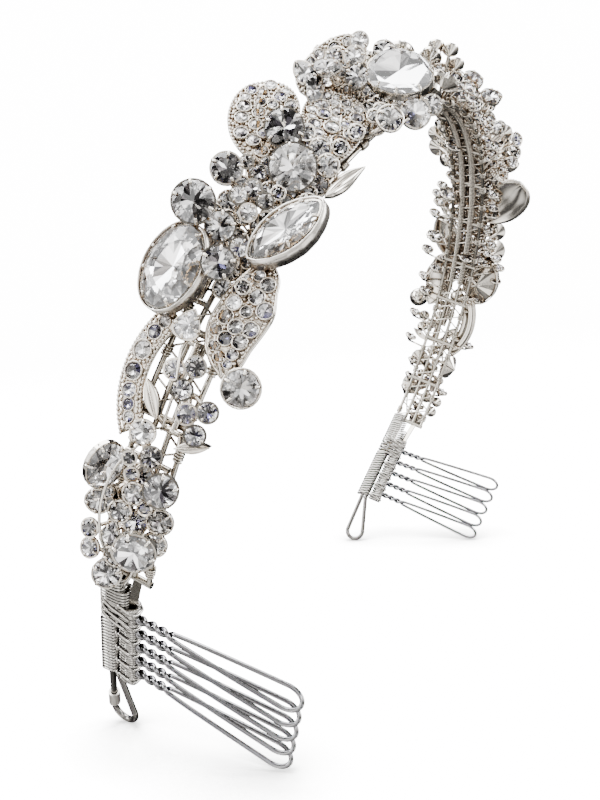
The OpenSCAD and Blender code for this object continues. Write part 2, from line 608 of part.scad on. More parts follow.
module oval_setting(k) metal(k) casting([SIDE_OVAL], SIDE_LINKS);
module blossom_setting(k) metal(k) casting(concat([BLOSSOM_A, BLOSSOM_B], BLOSSOM_SMALL), BLOSSOM_LINKS);
module navette_setting(k) metal(k) casting([NAVETTE], NAVETTE_LINKS);
module pair_setting(k) metal(k) casting(concat([STAR_ROUND, CROWN_ROUND], PAIR_SMALL), PAIR_LINKS);
module paved_leaf_round(k) metal(k) paved_leaf(LEAF_B, LEAF_B_STONES, LEAF_B_LINKS)
    wire([130.6, -4.0, link_h], [129.4, -7.6, LEAF_B[H] - leaf_t], stalk_d);
module paved_leaf_heart(k) metal(k) difference() {
    paved_leaf(LEAF_C, LEAF_C_STONES, LEAF_C_LINKS) {
        for (g = LEAF_C_SMALL) {
            cup(g);
            stalk(g, LEAF_C_LINKS, 0);
        }
        leaf(LEAF_C_LEAF);
        wire([128.2, 4.2, 2.2], [121.6, 8.2, 3.0], stalk_d);
    }
    for (g = LEAF_C_SMALL) seat(g);
}
module top_setting(k) metal(k) casting(concat([TOP_OVAL], TOP_SMALL), TOP_LINKS);
module crest_setting(k) metal(k) casting(concat([CREST_ROUND], CREST_STONES), CREST_LINKS);

module small_stones_low(k) crystal(k) {
    for (g = concat(END_SMALL, BUD_SMALL, SPRIG_STONES)) stone(g);
    for (p = STEM_STONES) on_stem(p[0]) gem(p[1], p[1]);
    paved_stones(LEAF_A, LEAF_A_STONES);
}
module small_stones_upper(k) crystal(k) {
    for (g = concat(BLOSSOM_SMALL, PAIR_SMALL, LEAF_C_SMALL, TOP_SMALL, CREST_STONES, [CREST_ROUND])) stone(g);
    paved_stones(LEAF_B, LEAF_B_STONES);
    paved_stones(LEAF_C, LEAF_C_STONES);
}

module end_crystal(k) crystal(k) stone(END_CRYSTAL);
module end_round(k) crystal(k) stone(END_ROUND);
module bud_oval(k) crystal(k) stone(BUD_OVAL);
module bud_round(k) crystal(k) stone(BUD_ROUND);
module drop_round(k) crystal(k) stone(DROP_ROUND);
module side_oval(k) crystal(k) stone(SIDE_OVAL);
module blossom_round_a(k) crystal(k) stone(BLOSSOM_A);
module blossom_round_b(k) crystal(k) stone(BLOSSOM_B);
module navette(k) crystal(k) stone(NAVETTE);
module star_round(k) crystal(k) stone(STAR_ROUND);
module crown_round(k) crystal(k) stone(CROWN_ROUND);
module top_oval(k) crystal(k) stone(TOP_OVAL);

band_frame();
near_comb();
far_comb();
near_binding();
far_binding();
near_ferrule();
end_cluster_setting(0);  // near_end_cluster_setting
end_cluster_setting(1);  // far_end_cluster_setting
bud_spray_setting(0);  // near_bud_spray_setting
bud_spray_setting(1);  // far_bud_spray_setting
paved_stem(0);  // near_paved_stem
paved_stem(1);  // far_paved_stem
sprig_setting(0);  // near_sprig_setting
sprig_setting(1);  // far_sprig_setting
paved_leaf_long(0);  // near_paved_leaf_long
paved_leaf_long(1);  // far_paved_leaf_long
oval_setting(0);  // near_oval_setting
oval_setting(1);  // far_oval_setting
blossom_setting(0);  // near_blossom_setting
blossom_setting(1);  // far_blossom_setting
navette_setting(0);  // near_navette_setting
navette_setting(1);  // far_navette_setting
pair_setting(0);  // near_pair_setting
pair_setting(1);  // far_pair_setting
paved_leaf_round(0);  // near_paved_leaf_round
paved_leaf_round(1);  // far_paved_leaf_round
paved_leaf_heart(0);  // near_paved_leaf_heart
paved_leaf_heart(1);  // far_paved_leaf_heart
top_setting(0);  // near_top_setting
top_setting(1);  // far_top_setting
crest_setting(0);  // near_crest_setting
crest_setting(1);  // far_crest_setting
end_crystal(0);  // near_end_crystal
end_crystal(1);  // far_end_crystal
end_round(0);  // near_end_round
end_round(1);  // far_end_round
bud_oval(0);  // near_bud_oval
bud_oval(1);  // far_bud_oval
bud_round(0);  // near_bud_round
bud_round(1);  // far_bud_round
drop_round(0);  // near_drop_round
drop_round(1);  // far_drop_round
side_oval(0);  // near_side_oval
side_oval(1);  // far_side_oval
blossom_round_a(0);  // near_blossom_round_a
blossom_round_a(1);  // far_blossom_round_a
blossom_round_b(0);  // near_blossom_round_b
blossom_round_b(1);  // far_blossom_round_b
navette(0);  // near_navette
navette(1);  // far_navette
star_round(0);  // near_star_round
star_round(1);  // far_star_round
crown_round(0);  // near_crown_round
crown_round(1);  // far_crown_round
top_oval(0);  // near_top_oval
top_oval(1);  // far_top_oval
small_stones_low(0);  // near_small_stones_low
small_stones_low(1);  // far_small_stones_low
small_stones_upper(0);  // near_small_stones_upper
small_stones_upper(1);  // far_small_stones_upper
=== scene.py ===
# %% [markdown]
# A crystal headpiece, lit and finished. The real one is a band of plated wire that carries castings
# set with cut glass, and ends in an eyelet and a side comb at each foot. The wires, cups and sizes
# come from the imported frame. This script gives them their finish and adds what is too fine to be a
# solid of its own: facets, claws, beads, wound wire and the paving on the leaves.

# %% Load the frame
import bpy
import numpy as np
from mathutils import Matrix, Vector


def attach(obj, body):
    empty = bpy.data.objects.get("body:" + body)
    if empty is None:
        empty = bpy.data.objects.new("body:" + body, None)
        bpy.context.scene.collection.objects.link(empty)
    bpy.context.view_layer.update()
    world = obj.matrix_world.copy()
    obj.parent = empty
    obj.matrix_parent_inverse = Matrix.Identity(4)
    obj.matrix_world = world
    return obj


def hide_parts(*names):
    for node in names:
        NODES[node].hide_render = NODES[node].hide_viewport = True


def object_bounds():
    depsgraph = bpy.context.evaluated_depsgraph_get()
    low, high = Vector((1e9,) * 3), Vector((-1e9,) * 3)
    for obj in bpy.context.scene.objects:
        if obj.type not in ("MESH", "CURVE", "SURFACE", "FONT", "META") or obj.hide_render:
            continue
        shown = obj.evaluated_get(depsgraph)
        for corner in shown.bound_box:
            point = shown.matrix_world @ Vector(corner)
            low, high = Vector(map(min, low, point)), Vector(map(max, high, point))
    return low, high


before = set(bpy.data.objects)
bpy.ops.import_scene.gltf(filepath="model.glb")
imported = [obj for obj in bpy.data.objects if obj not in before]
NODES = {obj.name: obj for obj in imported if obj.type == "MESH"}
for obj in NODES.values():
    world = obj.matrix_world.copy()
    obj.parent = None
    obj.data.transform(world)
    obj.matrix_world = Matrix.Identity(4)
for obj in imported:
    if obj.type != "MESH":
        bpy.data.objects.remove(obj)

CAD_BOX = [list(map(float, corner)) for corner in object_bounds()]
print("frame box in mm", [[round(x * 1000, 1) for x in corner] for corner in CAD_BOX])

# %% [markdown]
# The camera comes first, because every later choice is judged through it. Where it stands and how
# it is turned were worked out from the photograph once, and are round numbers here. Blender's
# camera looks along its own -Z with +Y up, so its matrix is built from those three directions.
# The lens is given by the height of the picture against the focal length, so it needs no image size.

# %% Camera
MM = 0.001
CAMERA_AT = np.array([-201.6, -75.03, 82.6]) * MM
YAW, PITCH, ROLL = np.radians([65.3, 6.6, -4.5])
FOCAL_PX, PICTURE_PX = 866, 800
SENSOR = 36.0

ahead = np.array([np.sin(YAW) * np.cos(PITCH), np.cos(YAW) * np.cos(PITCH), -np.sin(PITCH)])
level = np.array([np.cos(YAW), -np.sin(YAW), 0.0])
above = np.cross(level, ahead)
right = level * np.cos(ROLL) + above * np.sin(ROLL)
over = -level * np.sin(ROLL) + above * np.cos(ROLL)

camera = bpy.data.objects.new("camera", bpy.data.cameras.new("camera"))
bpy.context.scene.collection.objects.link(camera)
placing = np.eye(4)
placing[:3, 0], placing[:3, 1], placing[:3, 2], placing[:3, 3] = right, over, -ahead, CAMERA_AT
camera.matrix_world = Matrix(placing.tolist())
camera.data.sensor_fit = "VERTICAL"
camera.data.sensor_height = SENSOR
camera.data.lens = SENSOR * FOCAL_PX / PICTURE_PX
camera.data.clip_start = 0.01
bpy.context.scene.camera = camera
print("lens in mm", round(camera.data.lens, 2))

# %% [markdown]
# Every surface below is worked out as arrays. A shape is a pair: an array of points, and a list of
# arrays of faces, one array for each number of corners. A few small functions are enough for the
# whole piece: they join shapes, repeat a shape in many places at once, and hand the arrays to
# Blender in a few calls, which is far quicker than adding faces one by one.

# %% Shapes as arrays
def facets(*corners):
    """Faces from arrays of their first, second, third and further corners."""
    return np.stack(corners, -1).reshape(-1, len(corners))


def join(shapes):
    """One shape from many: points stacked, and each shape's faces counted on from the last point."""
    starts = np.cumsum([0] + [len(points) for points, _ in shapes])
    faces = [f + start for (_, every), start in zip(shapes, starts) for f in every]
    return np.concatenate([points for points, _ in shapes]), faces


def copied(faces, places, points):
    """A shape's faces at each of its places: point numbers counted on from place to place."""
    starts = np.arange(places)[:, None, None] * points
    return [(f[None] + starts).reshape(-1, f.shape[1]) for f in faces]


def repeat(shape, places, sizes, axes=np.eye(3)):
    """A shape at many places: each point is the place plus the point's three coordinates, times
    the size, along the place's three axes. One size or one set of axes may serve all places."""
    points, faces = shape
    sizes = np.broadcast_to(sizes, len(places))[:, None, None]
    axes = np.broadcast_to(axes, (len(places), 3, 3))
    spread = places[:, None] + np.einsum("npi,nij->npj", points * sizes, axes)
    return spread.reshape(-1, 3), copied(faces, len(places), len(points))


def piece(name, shape, materials, smooth=True, which=None, tone=None):
    """A Blender object from a shape, riding on the frame. which gives each face its material, and
    tone a number from 0 to 1 that its material may read."""
    points, faces = shape
    made = bpy.data.meshes.new(name)
    corners = np.concatenate([f.ravel() for f in faces]).astype(np.int32)
    sizes = np.concatenate([np.full(len(f), f.shape[1]) for f in faces])
    made.vertices.add(len(points))
    made.vertices.foreach_set("co", points.astype(np.float32).ravel())
    made.loops.add(len(corners))
    made.loops.foreach_set("vertex_index", corners)
    made.polygons.add(len(sizes))
    made.polygons.foreach_set("loop_start", np.concatenate([[0], np.cumsum(sizes)[:-1]]).astype(np.int32))
    for material in materials:
        made.materials.append(material)
    if tone is not None:
        made.attributes.new("tone", "FLOAT", "FACE").data.foreach_set("value", tone.astype(np.float32))
    made.polygons.foreach_set("use_smooth", np.full(len(sizes), smooth))
    if which is not None:
        made.polygons.foreach_set("material_index", np.asarray(which, np.int32))
    made.update()
    made.validate()
    thing = bpy.data.objects.new(name, made)
    bpy.context.scene.collection.objects.link(thing)
    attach(thing, "root")
    print(name, len(points), "points", len(sizes), "faces")
    return thing


def unit(v):
    """Vectors of length one, along the last axis."""
    return v / np.maximum(np.linalg.norm(v, axis=-1, keepdims=True), 1e-12)


def turned_by(axis, angle):
    """Rotation matrix about x, y or z: cosine and sine in the other two rows and columns."""
    c, s = np.cos(angle), np.sin(angle)
    i, j = [k for k in range(3) if k != axis]
    made = np.eye(3)
    made[i, i] = made[j, j] = c
    made[i, j], made[j, i] = (s, -s) if axis == 1 else (-s, s)
    return made


# %% [markdown]
# The band is an arch of two bend radii that leans forward over its combs. A place on it is told by
# three numbers, as a maker would point: how far along the wire, how far to the front, and how far
# out from the wire. The same few driving sizes as in the frame turn those into metres. The far half
# carries the near half's castings turned half a turn, which is one change of sign here.

# %% Places on the arch
FOOT_HALF, LEG_SLOPE, LEG_LENGTH = 65.0, np.radians(23), 38.0
SHOULDER_R, SHOULDER_TURN, LEAN = 66.0, np.radians(58), np.radians(24)
ORIGIN_BACK = 32.07

CROWN_START = LEG_LENGTH + SHOULDER_R * SHOULDER_TURN
LEG_HEADING = np.pi / 2 + LEG_SLOPE
CROWN_HEADING = LEG_HEADING - SHOULDER_TURN
shoulder_c = np.array([
    -FOOT_HALF - LEG_LENGTH * np.sin(LEG_SLOPE) + SHOULDER_R * np.cos(LEG_SLOPE),
    LEG_LENGTH * np.cos(LEG_SLOPE) + SHOULDER_R * np.sin(LEG_SLOPE)])
CROWN_R = -(shoulder_c[0] - SHOULDER_R * np.sin(CROWN_HEADING)) / np.sin(CROWN_HEADING)
crown_c = np.array([0, shoulder_c[1] + (SHOULDER_R - CROWN_R) * np.cos(CROWN_HEADING)])
HALF_ARCH = CROWN_START + CROWN_R * CROWN_HEADING


def heading(s):
    """Direction of the arch: constant on the leg, then falling with length over each bend radius."""
    s = np.asarray(s, float)
    shoulder = LEG_HEADING - (s - LEG_LENGTH) / SHOULDER_R
    crown = CROWN_HEADING - (s - CROWN_START) / CROWN_R
    return np.where(s < LEG_LENGTH, LEG_HEADING, np.where(s < CROWN_START, shoulder, crown))


def to_world(x, y, w, far):
    """From the arch's own plane to the row frame: half a turn for the far half, then the lean
    about the floor line, then the shift to the origin, from millimetres to metres."""
    sign = 1 - 2 * far
    x, y = sign * x, sign * y
    return np.stack([x, y * np.cos(LEAN) - w * np.sin(LEAN) + ORIGIN_BACK,
                     y * np.sin(LEAN) + w * np.cos(LEAN)], -1) * MM


def place(s, v, h, far=0, mirror=1):
    """Point at a station, forward and outward distance: the arch's middle line plus the outward
    normal times the distance, with the forward distance along -y. mirror -1 gives the other foot."""
    s, v, h = np.broadcast_arrays(*map(lambda a: np.asarray(a, float), (s, v, h)))
    t = heading(s)
    nx, nw = -np.sin(t), np.cos(t)
    leg_x, leg_w = -FOOT_HALF - s * np.sin(LEG_SLOPE), s * np.cos(LEG_SLOPE)
    on_leg, on_shoulder = s < LEG_LENGTH, s < CROWN_START
    x = np.where(on_leg, leg_x + h * nx, np.where(
        on_shoulder, shoulder_c[0] + (SHOULDER_R + h) * nx, crown_c[0] + (CROWN_R + h) * nx))
    w = np.where(on_leg, leg_w + h * nw, np.where(
        on_shoulder, shoulder_c[1] + (SHOULDER_R + h) * nw, crown_c[1] + (CROWN_R + h) * nw))
    return to_world(mirror * x, -v, w, far)


print("half of the arch in mm", round(HALF_ARCH, 2))


# %% [markdown]
# Most of this object is wire, so the most used surface is a ring carried along a path. Each ring
# lies across the path's direction; a second direction, given by the caller, keeps the rings from
# turning. Many paths of the same number of points go through in one call.

# %% Wire along a path
def around(sides):
    """Even turns round a ring."""
    return 2 * np.pi * np.arange(sides) / sides


def at_turns(radius, turn, height):
    """Points from a radius, a turn about z and a height: radius times cosine and sine, and height."""
    return np.stack(np.broadcast_arrays(radius * np.cos(turn), radius * np.sin(turn), height), -1)


def wires(paths, radius, sides, up):
    """Tubes with flat ends: each path point plus the radius times cosine and sine along two
    directions across the path. The first is the path's direction crossed with up, and the second
    is both crossed. paths is (tubes, points, 3), and radius may vary along them."""
    paths = np.asarray(paths, float)
    paths = paths[None] if paths.ndim == 2 else paths
    count, steps = paths.shape[:2]
    way = unit(np.gradient(paths, axis=1))
    aside = unit(np.cross(way, np.broadcast_to(np.asarray(up, float), paths.shape)))
    upward = np.cross(aside, way)
    turn = around(sides)[:, None]
    radius = np.broadcast_to(np.asarray(radius, float), (count, steps))[..., None, None]
    ring = aside[:, :, None] * np.cos(turn) + upward[:, :, None] * np.sin(turn)
    points = (paths[:, :, None] + radius * ring).reshape(-1, 3)
    tube, step, side = np.meshgrid(np.arange(count), np.arange(steps - 1), np.arange(sides), indexing="ij")
    number = lambda i, j: (tube * steps + i) * sides + j % sides
    quads = facets(number(step + 1, side), number(step + 1, side + 1), number(step, side + 1),
                   number(step, side))
    ends = np.arange(count)[:, None] * steps * sides + np.arange(sides)
    return points, [quads, ends, (ends + (steps - 1) * sides)[:, ::-1]]


def shell(first, rings, last):
    """A closed form from one pole to the other, through rings with one number of points."""
    count, sides = rings.shape[:2]
    points = np.concatenate([[first], rings.reshape(-1, 3), [last]])
    j, k = 1 + np.arange(sides), 1 + (np.arange(sides) + 1) % sides
    row, end = np.arange(count - 1)[:, None] * sides, (count - 1) * sides
    quads = facets(row + j, row + k, row + sides + k, row + sides + j)
    caps = np.concatenate([facets(0 * j, k, j), facets(0 * j + len(points) - 1, end + j, end + k)])
    return points, [quads, caps]


def turned(profile, sides):
    """A profile of (radius, height) rows turned about the z axis; its end rows lie on the axis."""
    radius, height = np.array(profile, float).T[..., None]
    rings = at_turns(radius, around(sides), height)
    return shell(rings[0, 0], rings[1:-1], rings[-1, 0])


# Grain of metal: a small ball of radius one, with few faces because it is repeated by the thousand
BALL = turned([[0, -1], [0.78, -0.62], [1, 0.0], [0.78, 0.62], [0, 1]], 8)
print("ball", len(BALL[0]), "points")

# %% [markdown]
# Colours are written as they are seen on a screen, and one function turns them to the linear values
# that the renderer needs. One more function adds a node: a setting whose value is another node's
# output becomes a link, and any other is a value. With those two, a material is a few plain lines.

# %% Colour and node helpers
def linear(colour):
    """From an sRGB hex colour to linear RGBA, by the sRGB curve."""
    seen = np.array([int(colour[i:i + 2], 16) for i in (1, 3, 5)]) / 255
    return (*np.where(seen > 0.04045, ((seen + 0.055) / 1.055) ** 2.4, seen / 12.92), 1.0)


def node(tree, kind, **settings):
    """Adds a node. Each setting goes to the input of that name, as a link or a value, or else to
    the property of that name. An underscore in an input's name stands for a space."""
    made = tree.nodes.new("ShaderNode" + kind)
    for name, value in settings.items():
        socket = next((i for i in made.inputs if i.name == name.replace("_", " ") and i.enabled), None)
        if socket is None:
            setattr(made, name, value)
        elif isinstance(value, bpy.types.NodeSocket):
            tree.links.new(value, socket)
        else:
            socket.default_value = value
    return made


def blank(name):
    """A new material with only its output, and its tree."""
    made = bpy.data.materials.new(name)
    made.use_nodes = True
    made.node_tree.nodes.clear()
    return made, made.node_tree


def finish(tree, shader):
    """Links a shader to the material's output."""
    node(tree, "OutputMaterial", Surface=shader.outputs[0])


# %% [markdown]
# The castings and wires are brass with a bright silver plate. Silver is the palest of metals and
# slightly warm. Where surfaces lie close together, within 3 mm, the colour is painted darker and
# beige: painted shade in the hollows, and a painted reflection of the warm metal that they face.
# Polishing leaves a very fine waviness, 0.6 mm across, that breaks up the reflections.

# %% Plated metals
# How far the painted shade of a hollow reaches, and the shares of open sky at which a place is wholly shaded
# and wholly open
HOLLOW_REACH, HOLLOW, OPEN = 3 * MM, 0.15, 0.95
# The feet turn darker towards the bottom, from the first height down to the second
FEET_TOP, FEET_FULL = 26 * MM, 20 * MM
RELIEF = 0.05 * MM


def plated(name, bright, deep, roughness, grain_mm, bump, feet=None):
    """Polished or satin plate: base colour from a painted shade in hollows to the open colour by
    occlusion, and a fine noise that varies the roughness and tilts the surface a little. With feet,
    a second, darker colour takes over towards the bottom, from 26 mm down to 20 mm."""
    made, tree = blank(name)
    spot = node(tree, "TexCoord").outputs["Object"]
    # Painted shade: the deep colour where occlusion finds surfaces close by, the bright one in the open
    near = node(tree, "AmbientOcclusion", samples=4, Distance=HOLLOW_REACH)
    painted_shade_mix = node(tree, "MapRange", Value=near.outputs["AO"], From_Min=HOLLOW, From_Max=OPEN)
    colour = node(tree, "Mix", data_type="RGBA", Factor=painted_shade_mix.outputs[0])
    colour.inputs[6].default_value, colour.inputs[7].default_value = linear(deep), linear(bright)
    # Darker towards the bottom
    if feet:
        height = node(tree, "SeparateXYZ", Vector=spot).outputs["Z"]
        low = node(tree, "MapRange", Value=height, From_Min=FEET_TOP, From_Max=FEET_FULL)
        darker_low = node(tree, "Mix", data_type="RGBA", Factor=low.outputs[0])
        tree.links.new(colour.outputs[2], darker_low.inputs[6])
        darker_low.inputs[7].default_value = linear(feet)
        colour = darker_low
    grain = node(tree, "TexNoise", Vector=spot, Scale=1 / (grain_mm * MM), Detail=2.0)
    gloss = node(tree, "MapRange", Value=grain.outputs[0], To_Min=roughness * 0.7, To_Max=roughness * 1.4)
    relief = node(tree, "Bump", Height=grain.outputs[0], Strength=bump, Distance=RELIEF)
    finish(tree, node(tree, "BsdfPrincipled", Base_Color=colour.outputs[2], Metallic=1.0,
                      Roughness=gloss.outputs[0], Normal=relief.outputs[0]))
    return made


# Cast and tumbled, then plated: mirror-like with a soft waviness
SILVER = plated("silver_plate_polished", "#DEDAD2", "#7C6446", 0.13, 0.6, 0.12)
# Drawn wire keeps its shine and shows fine lines; it is a little darker than the castings
WIRE = plated("silver_plate_on_drawn_wire", "#BAB6AD", "#6E5E4A", 0.16, 0.4, 0.10, feet="#757371")
# The combs are nickel-plated steel: greyer, with sharper dark edges and a near-black painted shade in their
# hollows
STEEL = plated("nickel_plate_on_steel_wire", "#868689", "#2B2927", 0.11, 0.5, 0.02)
# Binding wire is thin and soft, and takes a near-black painted shade between its turns
BINDING = plated("silver_plate_on_binding_wire", "#B8B6B2", "#241F19", 0.11, 0.3, 0.05)
# The ferrule is crimped and left satin
SATIN = plated("silver_plate_satin", "#D8D5D0", "#8C8378", 0.38, 0.25, 0.5)

# %% [markdown]
# A rhinestone is cut lead glass with a mirror behind it. Light goes in through the crown, is thrown
# back by the foil on the facets below, and comes out split into light and dark patches. That is
# how it is made here too: one closed form whose upper facets are clear glass and whose lower facets
# are a mirror. It sparkles with few light bounces, which solid glass would not. Lead glass has an
# index of about 1.6. Each facet of the foil has one painted tone, mostly bright, some grey, few dark
# or violet: painted reflections, for a real stone shows such whole facets, since each one mirrors one
# direction. The brightest also glow a little, a painted glow for the light that reaches a real stone
# by many more bounces than are traced.

# %% Crystal and foil
CRYSTAL, tree = blank("lead_glass_cut")
finish(tree, node(tree, "BsdfPrincipled", Base_Color=linear("#FBFCFF"), Roughness=0.0, IOR=1.6,
                  Transmission_Weight=1.0))

FOIL, tree = blank("silver_foil_painted_reflections")
# Painted reflections: each facet's foil colour is its tone, from bright to dark
facet = node(tree, "Attribute", attribute_name="tone")
tint = node(tree, "ValToRGB", Fac=facet.outputs["Fac"])
ramp = tint.color_ramp
ramp.interpolation = "CONSTANT"
ramp.elements[0].color = linear("#FAFAFA")
ramp.elements[1].position, ramp.elements[1].color = 0.50, linear("#D9D8D6")
for position, colour in ((0.64, "#A8A5A2"), (0.77, "#5E5A5C"), (0.87, "#2A282C"), (0.96, "#46445E")):
    ramp.elements.new(position).color = linear(colour)
# Painted glow on the brightest facets
glow = node(tree, "MapRange", Value=facet.outputs["Fac"], From_Min=0.1, From_Max=0.5, To_Min=0.2, To_Max=0.02)
finish(tree, node(tree, "BsdfPrincipled", Base_Color=tint.outputs[0], Metallic=1.0, Roughness=0.03,
                  Emission_Color=tint.outputs[0], Emission_Strength=glow.outputs[0]))

# %% [markdown]
# Each stone's place is read from the frame. A node's mesh is taken apart into its closed lumps; the
# largest flat face of a lump is the stone's table, so its normal is the way the stone faces. Cut
# stones share one set of proportions: the height from culet to table is 0.59 of the width, and the
# table stands 0.16 of it above the girdle. So one measured height gives the width and the girdle.
# The glass is drawn 0.2 mm wider and a trifle higher, so that it overlaps the lip of its cup.

# %% Read the stones from the frame
STONE_HEIGHT, TABLE_HEIGHT = 0.59, 0.16
OVERLAP_MM, OVERLAP_RISE = 0.2, 0.035
OUTLINE_STEPS = 48
EVEN = np.linspace(-np.pi, np.pi, OUTLINE_STEPS, endpoint=False)
# The table is looked for among a lump's largest faces, and faces this much alike are one flat
LARGEST, ALIKE = 40, 0.9998
# The girdle is a band this thick, as a share of the width; a stone this little longer is round
GIRDLE_BAND, ROUND_WITHIN = 0.06, 1.04


def lumps(name):
    """The closed lumps of a node's mesh: corners at one place are one point, and points that
    share a face take the lowest of their labels until nothing changes."""
    mesh = NODES[name].data
    mesh.calc_loop_triangles()
    points = np.zeros(len(mesh.vertices) * 3)
    mesh.vertices.foreach_get("co", points)
    triangles = np.zeros(len(mesh.loop_triangles) * 3, np.int32)
    mesh.loop_triangles.foreach_get("vertices", triangles)
    places, same = np.unique(points.reshape(-1, 3).round(7), axis=0, return_inverse=True)
    triangles = same.ravel()[triangles].reshape(-1, 3)
    label = np.arange(len(places))
    while True:
        lowest = label[triangles].min(1)
        new = label.copy()
        np.minimum.at(new, triangles.ravel(), np.repeat(lowest, 3))
        new = new[new]
        if (new == label).all():
            break
        label = new
    return [(places, triangles[label[triangles[:, 0]] == one]) for one in np.unique(label[triangles[:, 0]])]


def measure(lump):
    """The stone in a lump: table normal from the faces that lie flattest together, width from the
    height, long axis from the girdle's spread, and the outline as radii at even angles."""
    places, triangles = lump
    a, b, c = (places[triangles[:, i]] for i in range(3))
    normals = np.cross(b - a, c - a)
    area = np.linalg.norm(normals, axis=1)
    normals = normals / np.maximum(area, 1e-20)[:, None]
    largest = np.argsort(-area)[:LARGEST]
    alike = normals[largest] @ normals.T > ALIKE
    up = normals[largest[np.argmax((alike * area).sum(1))]]
    points = places[np.unique(triangles)]
    rise = points @ up
    width = (rise.max() - rise.min()) / STONE_HEIGHT
    girdle = points[np.abs(rise - (rise.max() - TABLE_HEIGHT * width)) < GIRDLE_BAND * width]
    middle = girdle.mean(0)
    flat = girdle - middle
    flat -= (flat @ up)[:, None] * up
    _, spread, axes = np.linalg.svd(flat, full_matrices=False)
    is_round = spread[0] < ROUND_WITHIN * spread[1]
    across = unit(np.cross(up, [0.3, 0.2, 1.0])) if is_round else axes[0]
    across = unit(across - (across @ up) * up)
    beside = np.cross(up, across)
    x, y = flat @ across, flat @ beside
    middle = middle + across * (x.max() + x.min()) / 2 + beside * (y.max() + y.min()) / 2
    middle += up * (rise.max() - TABLE_HEIGHT * width - middle @ up + OVERLAP_RISE * width)
    x, y = x - (x.max() + x.min()) / 2, y - (y.max() + y.min()) / 2
    angle = np.arctan2(y, x)
    order = np.argsort(angle)
    outline = np.interp(EVEN, angle[order], np.hypot(x, y)[order], period=2 * np.pi) + OVERLAP_MM * MM
    return {"at": middle, "axes": np.stack([across, beside, up]), "width": width,
            "length": x.max() - x.min(), "outline": outline, "over": OVERLAP_MM * MM}


def radius_at(g, turn):
    """Radius of a stone's outline at any turn, read between its even angles."""
    return np.interp((turn + np.pi) % (2 * np.pi) - np.pi, EVEN, g["outline"], period=2 * np.pi)


def stones_of(name):
    """All the stones of a node, largest first."""
    return sorted((measure(lump) for lump in lumps(name)), key=lambda g: -g["width"])


SIDES = ("near", "far")
SINGLE = ("end_crystal", "end_round", "bud_oval", "bud_round", "drop_round", "side_oval", "blossom_round_a",
          "blossom_round_b", "navette", "star_round", "crown_round", "top_oval")
JOINED = ("small_stones_low", "small_stones_upper")
STONES = {f"{side}_{name}": stones_of(f"{side}_{name}") for side in SIDES for name in SINGLE + JOINED}
# Some stones get darker foil tones than the rest, and some clearer ones: painted reflections
REFLECTION_SHIFT = {"star_round": 0.02, "crown_round": -0.15, "top_oval": -0.9, "navette": -0.4, "side_oval": -0.22,
          "bud_oval": -0.08, "end_crystal": -0.15}
# The small stones of the low castings get darker foil tones too: painted darker reflections
LOW_DARKER = 0.09
for side in SIDES:
    for name, shift in REFLECTION_SHIFT.items():
        STONES[f"{side}_{name}"][0].update(dark=shift, star=name == "star_round", flat=name == "top_oval",
                                           broad=name in ("navette", "end_crystal"))
    for g in STONES[f"{side}_small_stones_low"]:
        g["dark"] = LOW_DARKER
print("stones read", sum(map(len, STONES.values())))


# %% [markdown]
# A round brilliant has a flat table, a ring of star facets, a ring of kites and a ring of small
# facets down to the girdle; below, long kites run to the point. The rings below hold that pattern
# for any count of kites; all here have eight, which leaves facets large enough to see. The heights
# are worked out so that each kite is flat. Costume stones have shallow foiled backs, which throw
# the light back in one bounce and show whole facets; the cup hides how deep they are. Paving stones
# are nearly flat-backed: only a table, eight facets and a low point.

# %% Cuts
KITES, TABLE_SHARE, GIRDLE = 8, 0.56, 0.02
# Where a brilliant's star facets and its lower ring of points lie, as shares of the radius
STAR_OUT, LOW_RING = 0.98, 0.30
# Painted reflections of a star-cut stone: every second facet dark, the others from bright to half
STAR_DARK, STAR_BRIGHT, STAR_RANGE = 0.88, 0.1, 0.5
LAST_TONE = 0.999
CHANCE = np.random.default_rng(seed=7)


def pattern_points(*rings):
    """Angle, share and height of each point, from rings of angles that have one share and height."""
    parts = [(angle, 0 * angle + share, 0 * angle + height) for angle, share, height in rings]
    return tuple(map(np.concatenate, zip(*parts)))


def brilliant(depth, table_share=TABLE_SHARE):
    """Rings of a brilliant: for each point an angle, a share of the outline's radius and a height
    as a share of the width. Kites are flat: heights follow the line from table or point to girdle."""
    n, k, j = KITES, np.arange(KITES), np.arange(2 * KITES)
    step = 2 * np.pi / n
    full, half, both = k * step, (k + 0.5) * step, j * step / 2
    lean, star = np.cos(step / 2), (table_share + STAR_OUT) / 2
    slope = (TABLE_HEIGHT - GIRDLE) / (1 - table_share)
    points = pattern_points((full, table_share, TABLE_HEIGHT),
                            (half, star, TABLE_HEIGHT - slope * (star * lean - table_share)),
                            (both, 1.0, GIRDLE), (both, 1.0, -GIRDLE),
                            (half, LOW_RING, -depth + (depth - GIRDLE) * LOW_RING * lean),
                            (np.zeros(1), 0.0, -depth))
    k1, before, j1 = (k + 1) % n, (k - 1) % n, (j + 1) % (2 * n)
    stars, top, under, lows, point = n, 2 * n, 4 * n, 6 * n, 0 * k + 7 * n
    main, side, main1 = 2 * k, 2 * k + 1, (2 * k + 2) % (2 * n)
    crown = [k[None], facets(k, stars + k, k1), facets(k, stars + before, top + main, stars + k),
             np.concatenate([facets(stars + k, top + main, top + side),
                             facets(stars + k, top + side, top + main1)]),
             facets(top + j, under + j, under + j1, top + j1)]
    below = [np.concatenate([facets(lows + k, under + side, under + main),
                             facets(lows + k, under + main1, under + side)]),
             facets(under + main, lows + before, point, lows + k)]
    return points, crown, below


def small_cut(depth):
    """Table, flat facets down to the girdle and a point."""
    n, k = KITES, np.arange(KITES)
    k1 = (k + 1) % n
    points = pattern_points((around(n), TABLE_SHARE, TABLE_HEIGHT), (around(n), 1.0, 0.0),
                            (np.zeros(1), 0.0, -depth))
    return points, [k[None], facets(k, n + k, n + k1, k1)], [facets(n + k, 0 * k + 2 * n, n + k1)]


